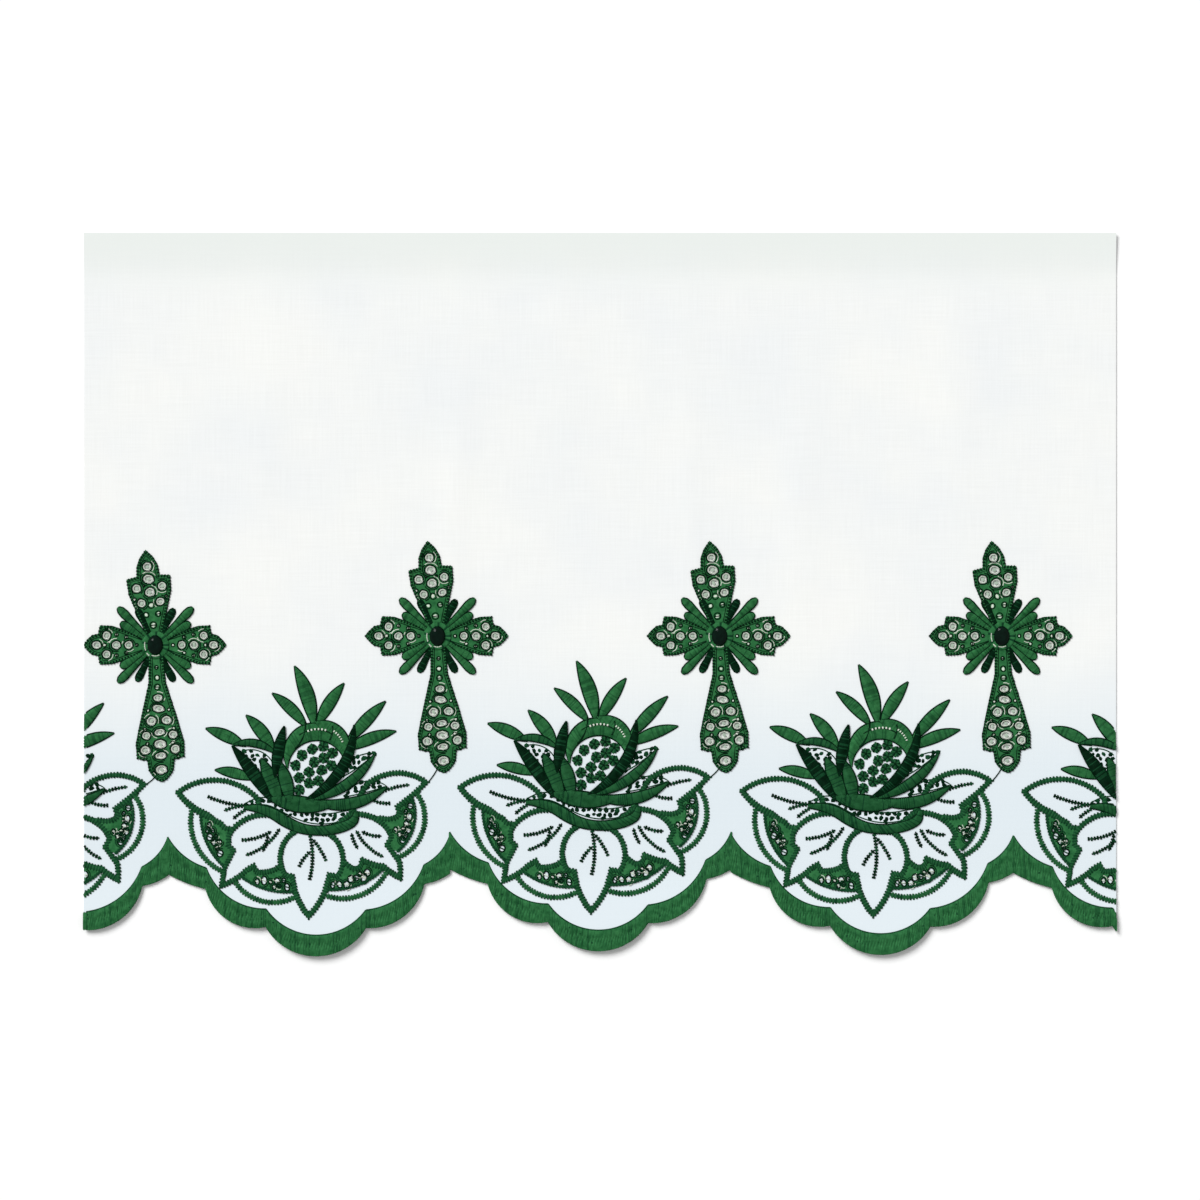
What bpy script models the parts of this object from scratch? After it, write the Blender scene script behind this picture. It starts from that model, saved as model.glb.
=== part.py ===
"""Altar cloth: a cut length of white linen with a scalloped green edging, laid flat.

The cloth lies on the XY plane with its scalloped edge towards -Y, and everything sewn to it lies on
top of it, a small gap above. Sizes are in millimetres and become metres when a mesh is made.
"""

import math

import bmesh
import bpy
from mathutils import Vector
from mathutils.geometry import delaunay_2d_cdt

MM = 0.001

# The sheet
SHEET_WIDTH = 516.0
SHEET_DEPTH = 361.5
HALF_WIDTH = SHEET_WIDTH / 2
CLOTH_THICK = 1.0
GAP = 0.3

# Levels above the resting face, before the sheet's own lie is added
THREAD_LOW = CLOTH_THICK + GAP
THREAD_HIGH = THREAD_LOW + 0.8
SEED_HIGH = CLOTH_THICK + 0.9

# The repeat along the hem. Heights in the tables below are above the hem line, where the
# lowest scallop of the middle repeat ends; the lowest scallop of all reaches the sheet's depth.
REPEAT = 141.0
MIDDLE_CENTRE = -4.75
LOWEST_DROP = 2.5
HEM_Y = -SHEET_DEPTH / 2 + LOWEST_DROP

# Repeats in their order along the hem, and how far each was sewn below the middle one
REPEATS = (
    # name, repeats from the middle, drop
    ("left", -2, 3.5),
    ("1", -1, LOWEST_DROP),
    ("2", 0, 0.0),
    ("3", 1, 1.8),
    ("right", 2, 2.0),
)
CUT_REPEATS = ("left", "right")

# Where the sheet lifts off the table: height above the hem line or below the top edge, and lift
HEM_LIFT = ((0.0, 2.0), (38.0, 0.0))
TOP_LIFT = ((0.0, 1.2), (20.0, 0.0))

# One repeat of the scalloped hem, from cusp to cusp
SCALLOPS = (
    # x, outer height, inner height, outer bulge, inner bulge, steps to the next row
    (-70.5, 41.0, 59.5, 0.8, 2.4, 2),
    (-51.2, 33.5, 44.0, 7.2, 5.8, 7),
    (-21.2, 14.5, 23.5, 14.25, 12.8, 12),
    (28.8, 14.0, 23.0, 6.8, 5.4, 7),
    (57.8, 36.0, 45.5, 0.8, 1.8, 2),
    (70.5, 41.0, 59.5, 0.0, 0.0, 0),
)
OUTER_LINE = (1, 3)
INNER_LINE = (2, 4)
STEP_COLUMN = 5
LIP_WIDTH = 2.0

# Cross: place in the repeat, then each arm as half widths along it
CROSS_X = -76.5
CROSS_HEIGHT = 157.5
FIRST_CROSS_DROP = 4.5
CROSS_ARMS = {
    # arm: heading in degrees, then rows of distance from the middle and half width
    "up": (96.0, ((5.0, 3.6), (26.5, 10.4), (33.8, 10.7), (34.6, 5.6), (40.0, 4.9), (47.5, 0.0))),
    "left": (180.0, ((5.0, 3.6), (21.5, 9.2), (27.6, 9.5), (28.4, 5.4), (31.5, 4.6), (36.0, 0.0))),
    "down": (272.7, ((5.0, 3.4), (19.0, 4.0), (39.5, 9.5), (49.0, 11.8), (56.2, 11.6), (57.2, 6.6),
                     (62.5, 5.9), (66.4, 3.2), (68.3, 0.0))),
    "right": (0.0, ((5.0, 3.6), (21.3, 9.2), (27.0, 9.5), (27.8, 5.4), (30.8, 4.6), (35.2, 0.0))),
}
CROSS_CELLS = (
    # arm, distance, offset to each side (0 is one cell on the axis), half across, half along
    ("up", 39.4, 0.0, 2.3, 2.2),
    ("up", 33.2, 0.0, 2.9, 2.3),
    ("up", 29.0, 6.4, 2.3, 2.3),
    ("up", 26.6, 0.0, 2.6, 2.2),
    ("up", 21.4, 4.7, 2.2, 2.1),
    ("left", 29.4, 0.0, 2.1, 2.3),
    ("left", 24.4, 4.7, 2.2, 2.1),
    ("left", 19.6, 0.0, 2.1, 2.3),
    ("left", 13.4, 0.0, 2.1, 2.2),
    ("right", 29.0, 0.0, 2.1, 2.3),
    ("right", 24.1, 4.7, 2.2, 2.1),
    ("right", 19.3, 0.0, 2.1, 2.3),
    ("right", 13.2, 0.0, 2.1, 2.2),
    ("down", 26.4, 0.0, 2.5, 1.8),
    ("down", 31.8, 0.0, 3.1, 2.0),
    ("down", 37.8, 3.8, 2.5, 2.3),
    ("down", 43.7, 0.0, 2.7, 1.8),
    ("down", 45.1, 6.7, 2.3, 2.1),
    ("down", 49.6, 0.0, 3.1, 2.2),
    ("down", 52.4, 7.5, 2.5, 2.3),
    ("down", 55.4, 0.0, 3.0, 1.7),
    ("down", 62.3, 0.0, 2.9, 2.5),
)
CELL_SIDES = 8
ARM_RIM = 1.5
CUT_START = 9.5
COLLAR_RADIUS = 6.8
COLLAR_SIDES = 12

# Club-shaped rays of the cross: angle from the horizontal, how far they reach and how wide they are
RAYS = (
    # angle, reach, width
    (32.5, 20.5, 4.2),
    (45.0, 26.3, 4.0),
    (63.0, 20.3, 3.4),
)
RAY_START = 4.5
RAY_WIDEST = 0.8
RAY_ENDS = (0.45, 1.0, 0.55)

# Faceted stone: radius and height of each ring, from its base up
GEM_RINGS = ((3.9, 0.0), (4.6, 0.9), (4.3, 1.3), (2.7, 2.4))
GEM_SIDES = 8

# Open leaves of the flower: corners counter-clockwise, each with the bulge of the edge that
# follows it, its steps, and the width of the worked line inside the corner
OPEN_LEAVES = {
    # leaf: rows of x, height, bulge, steps, width
    "upper_left": ((-24.0, 78.6, 8.6, 7, 1.9), (-66.6, 82.0, 1.4, 2, 1.9), (-52.0, 69.2, 0.4, 1, 3.2),
                   (-44.6, 65.6, 0.0, 1, 2.0), (-42.4, 63.0, 0.0, 1, 1.8), (-36.0, 62.4, 0.0, 1, 1.8),
                   (-24.0, 69.0, 0.0, 1, 2.0)),
    "upper_right": ((20.0, 72.2, 1.0, 2, 2.0), (41.0, 67.4, 0.6, 1, 2.0), (46.6, 70.2, 0.0, 1, 2.0),
                    (46.0, 74.0, 0.4, 2, 2.4), (60.2, 87.0, 6.0, 6, 1.9), (28.0, 86.0, 0.0, 1, 2.0)),
    "lower_left": ((-14.0, 70.0, 5.4, 6, 2.0), (-40.8, 60.8, 0.0, 1, 2.0), (-41.0, 55.0, 0.0, 1, 1.8),
                   (-38.6, 52.6, 0.0, 1, 1.8), (-43.0, 44.0, 0.0, 1, 1.8), (-44.6, 33.8, 1.0, 2, 1.9),
                   (-30.0, 42.2, 0.0, 1, 2.2), (-27.8, 43.6, 0.0, 1, 2.0), (-26.2, 40.8, 0.8, 2, 1.9),
                   (-15.4, 42.8, 2.0, 2, 1.9), (-5.0, 64.0, 0.0, 1, 2.0)),
    "lower_right": ((11.0, 64.0, 1.4, 2, 2.0), (16.6, 47.4, 0.6, 1, 2.0), (22.4, 42.4, 0.4, 1, 2.0),
                    (26.4, 43.0, 0.0, 1, 1.9), (27.6, 46.4, 0.4, 1, 2.2), (37.0, 43.4, 0.4, 1, 2.6),
                    (46.6, 37.6, 0.4, 1, 1.9), (46.4, 47.6, 0.0, 1, 1.9), (40.4, 55.6, 0.0, 1, 1.9),
                    (42.8, 59.8, 4.6, 5, 2.0), (20.0, 71.6, 0.0, 1, 2.0)),
    "centre": ((-6.0, 64.0, 5.6, 5, 2.0), (-12.4, 39.8, 0.0, 1, 1.9), (-9.0, 39.0, 0.0, 1, 2.0),
               (-7.6, 31.2, 0.8, 2, 2.2), (0.2, 18.6, 0.8, 2, 2.2), (9.4, 32.0, 0.0, 1, 2.2),
               (11.2, 39.4, 0.0, 1, 2.0), (15.2, 38.8, 5.0, 5, 1.9), (11.0, 62.0, 0.0, 1, 2.0)),
}

# Bands and crescents that join the open leaves, as arcs from one end to the other
BANDS = (
    # x, height, x, height, bulge, width
    (-57.0, 77.4, -42.6, 42.0, 7.6, 1.8),
    (-37.4, 38.2, -5.4, 30.4, 7.0, 1.8),
    (6.4, 31.2, 39.6, 43.2, 7.4, 1.8),
    (44.6, 49.2, 54.0, 81.6, 8.4, 1.8),
)
CRESCENTS = (
    # x, height, x, height, outer bulge, inner bulge
    (-53.4, 76.4, -42.8, 45.4, 5.4, 15.0),
    (-35.4, 41.2, -5.6, 32.4, 4.6, 12.0),
    (7.6, 33.4, 37.4, 43.6, 4.8, 12.0),
    (44.6, 52.4, 51.4, 80.0, 6.0, 14.0),
)

# Solid leaves, petals, bowl and blades, each between two arcs from its base to its tip
SOLID_LEAVES = (
    # x, height, x, height, left bulge, right bulge
    (2.6, 114.4, -7.0, 145.0, 1.8, 5.2),
    (-0.8, 114.2, -18.2, 131.4, 1.6, 3.8),
    (4.0, 114.4, 17.8, 136.4, 3.8, 2.0),
    (-31.4, 104.8, -51.4, 113.8, 2.0, 3.6),
    (-17.0, 102.4, -31.2, 120.4, 2.0, 4.0),
    (-27.4, 88.2, -46.8, 93.0, 1.6, 3.4),
    (19.0, 106.0, 38.6, 127.4, 3.6, 2.2),
    (18.4, 102.6, 43.8, 112.4, 4.0, 1.6),
)
PETALS = (
    # x, height, x, height, left bulge, right bulge
    (-16.0, 101.0, -38.0, 105.4, -1.4, 5.0),
    (-13.5, 75.4, -23.6, 99.0, 3.4, 3.6),
    (-9.0, 75.4, -14.4, 97.4, 2.6, 3.8),
    (2.0, 78.2, 33.4, 101.4, -1.6, 6.4),
    (0.0, 78.2, 39.4, 84.8, -2.6, 8.2),
)
BOWL = (-20.4, 79.2, 12.0, 75.0, 2.8, 5.2)
HOOD = (
    # x, height, x, height, left bulge, right bulge
    (-10.4, 94.0, 18.0, 98.0, 20.6, -11.8),
    (3.0, 117.0, 20.4, 101.0, 7.0, 0.4),
)
BLADES = (
    # x, height, x, height, left bulge, right bulge
    (-18.4, 77.0, -38.2, 105.2, 2.2, 3.6),
    (-16.8, 89.4, -12.0, 115.0, 3.2, 2.0),
    (-1.4, 78.4, 22.8, 115.6, -4.2, 9.2),
)

# The rim under the bowl, a worked line along these points
RIM = (
    # x, height, width
    (-32.0, 74.4, 1.6),
    (-25.0, 74.0, 4.0),
    (-18.0, 71.6, 5.0),
    (-12.0, 67.6, 5.4),
    (-5.0, 64.0, 4.8),
    (3.0, 62.6, 4.4),
    (11.0, 63.0, 4.6),
    (18.0, 64.8, 4.8),
    (23.0, 67.4, 4.4),
    (24.0, 72.0, 2.4),
)
SEEDS = (
    # x, height
    (-6.5, 95.4),
    (-3.3, 100.4),
    (1.9, 103.4),
    (7.4, 104.6),
    (12.0, 101.6),
    (-4.8, 89.3),
    (2.8, 96.9),
    (7.6, 98.9),
    (11.4, 95.4),
    (-4.6, 83.1),
    (0.3, 92.0),
    (6.6, 92.9),
    (0.2, 86.4),
    (4.9, 87.6),
)
SEED_RADIUS = 2.2
SEED_SIDES = 6

LEAF_STEPS = 4
PETAL_STEPS = 5
HOOD_STEPS = 7
BAND_STEPS = 5
MERGE = 0.02
MITRE_LIMIT = 0.35
FLAT_ANGLE = math.radians(0.1)
SLIVER = 0.02 * MM


def arc(start, end, bulge, steps):
    """Points from start up to, but not with, end on a circle; a positive bulge is on the left."""
    chord = math.dist(start, end)
    along = Vector((end[0] - start[0], end[1] - start[1])) / chord
    left = Vector((-along.y, along.x))
    middle = (Vector(start) + Vector(end)) / 2
    if abs(bulge) < MERGE:
        return [Vector(start).lerp(Vector(end), step / steps) for step in range(steps)]
    radius = (chord * chord / 4 + bulge * bulge) / (2 * abs(bulge))
    half_turn = math.asin(min(1.0, chord / 2 / radius))
    if abs(bulge) > chord / 2:
        half_turn = math.pi - half_turn
    points = []
    for step in range(steps):
        turn = half_turn * (2 * step / steps - 1)
        rise = radius * math.cos(turn) + abs(bulge) - radius
        points.append(middle + along * radius * math.sin(turn) + left * math.copysign(rise, bulge * rise))
    return points


def lens(row, steps):
    """Loop between two arcs that run from the row's first point to its second."""
    x_base, y_base, x_tip, y_tip, left_bulge, right_bulge = row
    base, tip = (x_base, y_base), (x_tip, y_tip)
    return arc(base, tip, left_bulge, steps) + arc(tip, base, right_bulge, steps)


def ribbon(line, widths):
    """Loop round an open line that has its own width at each point."""
    left, right = [], []
    last = len(line) - 1
    for index, (point, width) in enumerate(zip(line, widths)):
        ahead = line[min(index + 1, last)] - line[max(index - 1, 0)]
        side = Vector((-ahead.y, ahead.x)).normalized()
        left.append(point + side * width / 2)
        right.append(point - side * width / 2)
    return left + right[::-1]


def inset(loop, widths):
    """The counter-clockwise loop moved inwards by each corner's own width."""
    inner = []
    for index, point in enumerate(loop):
        before = (point - loop[index - 1]).normalized()
        after = (loop[(index + 1) % len(loop)] - point).normalized()
        side_before = Vector((-before.y, before.x))
        side_after = Vector((-after.y, after.x))
        mitre = (side_before + side_after).normalized()
        reach = widths[index] / max(mitre.dot(side_after), MITRE_LIMIT)
        inner.append(point + mitre * reach)
    return inner


def ellipse(middle, across, along, heading, sides):
    """Loop round an ellipse whose long way lies on the heading, in radians."""
    ahead = Vector((math.cos(heading), math.sin(heading)))
    side = Vector((-ahead.y, ahead.x))
    loop = []
    for index in range(sides):
        turn = math.tau * index / sides
        loop.append(middle + ahead * along * math.cos(turn) + side * across * math.sin(turn))
    return loop


def lift(height, table):
    """Lift at a distance from an edge, straight between the rows of its table."""
    for (near, near_lift), (far, far_lift) in zip(table, table[1:]):
        if height < far:
            return near_lift + (far_lift - near_lift) * (height - near) / (far - near)
    return 0.0


def lie(y):
    """How far the sheet stands off the table at y."""
    return lift(y - HEM_Y, HEM_LIFT) + lift(SHEET_DEPTH / 2 - y, TOP_LIFT)


def fold_lines():
    """Lines along X where the sheet's slope changes, and the two side cuts."""
    heights = [HEM_Y + row[0] for row in HEM_LIFT[1:]]
    heights += [SHEET_DEPTH / 2 - row[0] for row in TOP_LIFT[1:]]
    lines = [((-HALF_WIDTH, y), (HALF_WIDTH, y)) for y in heights]
    for x in (-HALF_WIDTH, HALF_WIDTH):
        lines.append(((x, -SHEET_DEPTH), (x, SHEET_DEPTH)))
    return lines


def turned(loop):
    """The loop counter-clockwise."""
    pairs = zip(loop, loop[1:] + loop[:1])
    area = sum(a[0] * b[1] - b[0] * a[1] for a, b in pairs)
    return loop if area > 0 else loop[::-1]


def painted(layers):
    """Triangles of the painted layers, where a later layer covers the ones before it.

    A layer is a loop with its low and high level, or with None where it leaves cloth bare.
    """
    points, edges, faces = [], [], []
    for loop, _levels in layers:
        first = len(points)
        points.extend(Vector(point) for point in turned(loop))
        faces.append(list(range(first, len(points))))
    for ends in fold_lines():
        edges.append((len(points), len(points) + 1))
        points.extend(Vector(end) for end in ends)
    corners, _edges, triangles, _ids, _edge_ids, owners = delaunay_2d_cdt(points, edges, faces, 0, MERGE)
    kept = []
    for triangle, owner in zip(triangles, owners):
        middle_x = sum(corners[index].x for index in triangle) / len(triangle)
        levels = layers[max(owner)][1] if owner else None
        if levels and abs(middle_x) < HALF_WIDTH:
            kept.append((tuple(triangle), levels))
    return corners, kept


def islands(kept):
    """The kept triangles in groups that share edges, largest first."""
    by_edge = {}
    for number, (triangle, _levels) in enumerate(kept):
        for pair in zip(triangle, triangle[1:] + triangle[:1]):
            by_edge.setdefault(frozenset(pair), []).append(number)
    unseen = set(range(len(kept)))
    groups = []
    while unseen:
        group, open_ends = [], [min(unseen)]
        unseen.discard(open_ends[0])
        while open_ends:
            number = open_ends.pop()
            group.append(kept[number])
            triangle = kept[number][0]
            for pair in zip(triangle, triangle[1:] + triangle[:1]):
                for other in by_edge[frozenset(pair)]:
                    if other in unseen:
                        unseen.discard(other)
                        open_ends.append(other)
        groups.append(group)
    return sorted(groups, key=len, reverse=True)


def bends(vert):
    """Whether the faces round a vertex leave one plane."""
    normals = [face.normal for face in vert.link_faces]
    return any(normal.angle(normals[0]) > FLAT_ANGLE for normal in normals)


def can_join(vert, target):
    """Whether a vertex inside a flat may move onto its neighbour without turning a triangle over."""
    round_vert = {edge.other_vert(vert) for edge in vert.link_edges}
    round_target = {edge.other_vert(target) for edge in target.link_edges}
    if len(round_vert & round_target) != 2:
        return False
    up = vert.link_faces[0].normal
    for face in vert.link_faces:
        if target in face.verts:
            continue
        corners = [target.co if corner is vert else corner.co for corner in face.verts]
        double_area = (corners[1] - corners[0]).cross(corners[2] - corners[0])
        longest = max((corners[index] - corners[index - 1]).length for index in range(3))
        if double_area.dot(up) < longest * SLIVER:
            return False
    return True


def thin_flats(mesh):
    """Leave vertices only where the surface bends."""
    verts, edges = mesh.verts[:], mesh.edges[:]
    bmesh.ops.dissolve_limit(mesh, angle_limit=FLAT_ANGLE, verts=verts, edges=edges)
    bmesh.ops.triangulate(mesh, faces=mesh.faces[:])
    mesh.normal_update()
    for vert in [vert for vert in mesh.verts if not bends(vert)]:
        near = sorted(vert.link_edges, key=lambda edge: edge.calc_length())
        targets = [edge.other_vert(vert) for edge in near]
        target = next((other for other in targets if can_join(vert, other)), None)
        if target:
            bmesh.ops.weld_verts(mesh, targetmap={vert: target})
            for face in target.link_faces:
                face.normal_update()
    flat = [edge for edge in mesh.edges if edge.calc_face_angle() < FLAT_ANGLE]
    bmesh.ops.beautify_fill(mesh, faces=mesh.faces[:], edges=flat, method="ANGLE")


class Terrace:
    """Closed solid over flat triangles, each with a low and a high level of its own."""

    def __init__(self, corners, kept):
        self.mesh = bmesh.new()
        self.corners = corners
        self.verts = {}
        self.levels = {}
        self.across = {}
        for triangle, levels in kept:
            for index, pair in enumerate(zip(triangle, triangle[1:] + triangle[:1])):
                self.levels.setdefault(triangle[index], set()).update(levels)
                self.across[pair] = levels
        for triangle, (low, high) in kept:
            self.face([(index, high) for index in triangle])
            self.face([(index, low) for index in reversed(triangle)])
            for start, end in zip(triangle, triangle[1:] + triangle[:1]):
                beside = self.across.get((end, start))
                if beside is None:
                    self.wall(start, end, low, high)
                    continue
                if beside[0] > low:
                    self.wall(start, end, low, beside[0])
                if beside[1] < high:
                    self.wall(start, end, beside[1], high)
        thin_flats(self.mesh)

    def vert(self, index, level):
        """The vertex over a corner at a level, made once."""
        if (index, level) not in self.verts:
            x, y = self.corners[index]
            place = Vector((x, y, level + lie(y))) * MM
            self.verts[index, level] = self.mesh.verts.new(place)
        return self.verts[index, level]

    def face(self, keys):
        """Face through vertices given by corner and level."""
        self.mesh.faces.new([self.vert(*key) for key in keys])

    def wall(self, start, end, low, high):
        """Upright face from start to end, with a vertex at each level that meets it."""
        up = [level for level in sorted(self.levels[end]) if low <= level <= high]
        down = [level for level in sorted(self.levels[start], reverse=True) if low <= level <= high]
        self.face([(end, level) for level in up] + [(start, level) for level in down])


def material(name, colour, roughness):
    """Plain material of one sub-part."""
    made = bpy.data.materials.new(name)
    made.use_nodes = True
    shader = made.node_tree.nodes["Principled BSDF"]
    shader.inputs["Base Color"].default_value = (*colour, 1.0)
    shader.inputs["Roughness"].default_value = roughness
    shader.inputs["Metallic"].default_value = 0.0
    made.diffuse_color = (*colour, 1.0)
    return made


def add_object(name, mesh, colour, roughness):
    """Put a finished bmesh in the scene as one named sub-part."""
    data = bpy.data.meshes.new(name)
    mesh.to_mesh(data)
    mesh.free()
    data.materials.append(material(name, colour, roughness))
    made = bpy.data.objects.new(name, data)
    bpy.context.scene.collection.objects.link(made)
    return made


WHITE = (0.91, 0.93, 0.93)
GREEN = (0.035, 0.165, 0.055)
DARK_GREEN = (0.01, 0.06, 0.025)
CLOTH_ROUGHNESS = 0.85
THREAD_ROUGHNESS = 0.5
GEM_ROUGHNESS = 0.12


def repeat_centre(count):
    """Place along X of a repeat, counted from the middle one."""
    return MIDDLE_CENTRE + REPEAT * count


def moved(loop, x, y):
    """The loop at a place on the sheet."""
    return [Vector((point[0] + x, point[1] + y)) for point in loop]


def hem_line(height_column, bulge_column, raised=0.0):
    """One scalloped line across all repeats, from left to right, from two columns of SCALLOPS."""
    line = []
    for _name, count, drop in REPEATS:
        centre = repeat_centre(count)
        for row, following in zip(SCALLOPS, SCALLOPS[1:]):
            start = (row[0], row[height_column])
            end = (following[0], following[height_column])
            edge = arc(start, end, -row[bulge_column], row[STEP_COLUMN])
            line.extend(moved(edge, centre, HEM_Y - drop + raised))
    return line


def arm_points(middle, arm, rows):
    """Outline of one arm of a cross from rows of distance and half width."""
    heading = math.radians(CROSS_ARMS[arm][0])
    ahead = Vector((math.cos(heading), math.sin(heading)))
    side = Vector((-ahead.y, ahead.x))
    left = [middle + ahead * distance + side * half for distance, half in rows]
    right = [middle + ahead * distance - side * half for distance, half in rows if half > 0]
    return right + left[::-1]


def cut_rows(rows):
    """Rows of the opening in the cloth under an arm, a rim's width inside the arm."""
    (near, near_half), (far, far_half) = rows[:2]
    start_half = near_half + (far_half - near_half) * (CUT_START - near) / (far - near)
    inner = [(CUT_START, start_half - ARM_RIM)]
    inner += [(distance, half - ARM_RIM) for distance, half in rows[1:-1]]
    return inner + [(rows[-1][0] - 2 * ARM_RIM, 0.0)]


def cross_layers(middle):
    """Plate of one cross: arms, rays and collar, with its open cells."""
    solid = (THREAD_LOW, THREAD_HIGH)
    layers = []
    for angle, reach, width in RAYS:
        for heading in (angle, 180 - angle, 180 + angle, 360 - angle):
            ahead = Vector((math.cos(math.radians(heading)), math.sin(math.radians(heading))))
            widest = RAY_START + (reach - RAY_START) * RAY_WIDEST
            line = [middle + ahead * distance for distance in (RAY_START, widest, reach)]
            layers.append((ribbon(line, [width * share for share in RAY_ENDS]), solid))
    for arm, (_heading, rows) in CROSS_ARMS.items():
        layers.append((arm_points(middle, arm, rows), solid))
    layers.append((ellipse(middle, COLLAR_RADIUS, COLLAR_RADIUS, 0.0, COLLAR_SIDES), solid))
    for arm, distance, offset, across, along in CROSS_CELLS:
        heading = math.radians(CROSS_ARMS[arm][0])
        ahead = Vector((math.cos(heading), math.sin(heading)))
        side = Vector((-ahead.y, ahead.x))
        for sign in ((1, -1) if offset else (0,)):
            place = middle + ahead * distance + side * offset * sign
            layers.append((ellipse(place, across, along, heading, CELL_SIDES), None))
    return layers


def open_leaf(rows):
    """Outline of an open leaf, and the width of its worked line at each point."""
    outline, widths = [], []
    for row, following in zip(rows, rows[1:] + rows[:1]):
        x, height, bulge, steps, width = row
        outline.extend(arc((x, height), following[:2], -bulge, steps))
        for step in range(steps):
            widths.append(width + (following[4] - width) * step / steps)
    return outline, widths


def flower_layers():
    """Plate of one flower about its own centre and the hem line."""
    solid = (THREAD_LOW, THREAD_HIGH)
    layers = []
    for x, height, x_end, height_end, outer, inner in CRESCENTS:
        layers.append((lens((x, height, x_end, height_end, -outer, -inner), BAND_STEPS), solid))
    for x, height, x_end, height_end, bulge, width in BANDS:
        line = arc((x, height), (x_end, height_end), -bulge, BAND_STEPS) + [Vector((x_end, height_end))]
        layers.append((ribbon(line, [width] * len(line)), solid))
    for rows in OPEN_LEAVES.values():
        outline, widths = open_leaf(rows)
        layers.append((outline, solid))
        layers.append((inset(outline, widths), None))
    for row in SOLID_LEAVES:
        layers.append((lens(row, LEAF_STEPS), solid))
    for row in HOOD:
        layers.append((lens(row, HOOD_STEPS), solid))
    rim = [Vector(row[:2]) for row in RIM]
    layers.append((ribbon(rim, [row[2] for row in RIM]), solid))
    for row in (BOWL,) + PETALS + BLADES:
        layers.append((lens(row, PETAL_STEPS), solid))
    return layers


def flower_places():
    """Name and place of each flower's origin on the sheet."""
    return [(name, repeat_centre(count), HEM_Y - drop) for name, count, drop in REPEATS]


def cross_middles():
    """Number and place of each cross on the sheet."""
    places = []
    for number, (_name, count, _drop) in enumerate(REPEATS[1:], start=1):
        drop = FIRST_CROSS_DROP if number == 1 else 0.0
        places.append((number, Vector((repeat_centre(count) + CROSS_X, HEM_Y + CROSS_HEIGHT - drop))))
    return places


def seed_loops():
    """The raised seeds of every whole flower."""
    loops = []
    for name, x, y in flower_places():
        if name in CUT_REPEATS:
            continue
        for seed_x, height in SEEDS:
            place = Vector((x + seed_x, y + height))
            loops.append(ellipse(place, SEED_RADIUS, SEED_RADIUS, 0.0, SEED_SIDES))
    return loops


def make_cloth():
    """The ground cloth inside the edging, with openings under the crosses."""
    flat = (0.0, CLOTH_THICK)
    top_y = SHEET_DEPTH / 2
    edge = hem_line(*OUTER_LINE, LIP_WIDTH + GAP)
    outline = edge + [Vector((edge[-1].x, top_y)), Vector((edge[0].x, top_y))]
    layers = [(outline, flat)]
    for loop in seed_loops():
        layers.append((loop, (0.0, SEED_HIGH)))
    for _number, middle in cross_middles():
        for arm, (_heading, rows) in CROSS_ARMS.items():
            layers.append((arm_points(middle, arm, cut_rows(rows)), None))
    corners, kept = painted(layers)
    add_object("cloth", Terrace(corners, kept).mesh, WHITE, CLOTH_ROUGHNESS)


def make_border():
    """Edging band: it laps over the cloth and closes over its edge down to the table."""
    outer = hem_line(*OUTER_LINE)
    lip = hem_line(*OUTER_LINE, LIP_WIDTH)
    inner = hem_line(*INNER_LINE)
    layers = [
        (outer + inner[::-1], (THREAD_LOW, THREAD_HIGH)),
        (outer + lip[::-1], (0.0, THREAD_HIGH)),
    ]
    corners, kept = painted(layers)
    add_object("border", Terrace(corners, kept).mesh, GREEN, THREAD_ROUGHNESS)


def make_crosses():
    """Crosses and the stone in each."""
    for number, middle in cross_middles():
        corners, kept = painted(cross_layers(middle))
        add_object(f"cross_{number}", Terrace(corners, kept).mesh, GREEN, THREAD_ROUGHNESS)
        make_gem(number, middle)


def make_gem(number, middle):
    """Faceted stone in the middle of a cross."""
    base = THREAD_HIGH + GAP
    mesh = bmesh.new()
    rings = []
    for radius, height in GEM_RINGS:
        loop = ellipse(middle, radius, radius, math.pi / GEM_SIDES, GEM_SIDES)
        rings.append([mesh.verts.new(Vector((x, y, base + height)) * MM) for x, y in loop])
    for lower, upper in zip(rings, rings[1:]):
        for index in range(GEM_SIDES):
            after = (index + 1) % GEM_SIDES
            mesh.faces.new((lower[index], lower[after], upper[after], upper[index]))
    mesh.faces.new(rings[0][::-1])
    mesh.faces.new(rings[-1])
    add_object(f"gem_{number}", mesh, DARK_GREEN, GEM_ROUGHNESS)


def make_flowers():
    """Flowers of all repeats; what a side edge parts becomes a sub-part of its own."""
    motif = flower_layers()
    for name, x, y in flower_places():
        layers = [(moved(loop, x, y), levels) for loop, levels in motif]
        corners, kept = painted(layers)
        for number, group in enumerate(islands(kept), start=1):
            full_name = f"flower_{name}" if number == 1 else f"flower_{name}_leaf_{number}"
            add_object(full_name, Terrace(corners, group).mesh, GREEN, THREAD_ROUGHNESS)


def clear_scene():
    """Start from an empty scene."""
    for old in list(bpy.data.objects):
        bpy.data.objects.remove(old)


clear_scene()
make_cloth()
make_border()
make_crosses()
make_flowers()
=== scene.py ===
"""Looks of the altar cloth: white linen with green machine embroidery, lying flat.

Shapes repeat the solids' named sizes and tables with finer steps. They are in millimetres on the
sheet and become metres when a vertex is placed. Thread is modelled stitch by stitch.
"""

import math
import random

import bpy
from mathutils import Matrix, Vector
from mathutils.geometry import delaunay_2d_cdt


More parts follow.
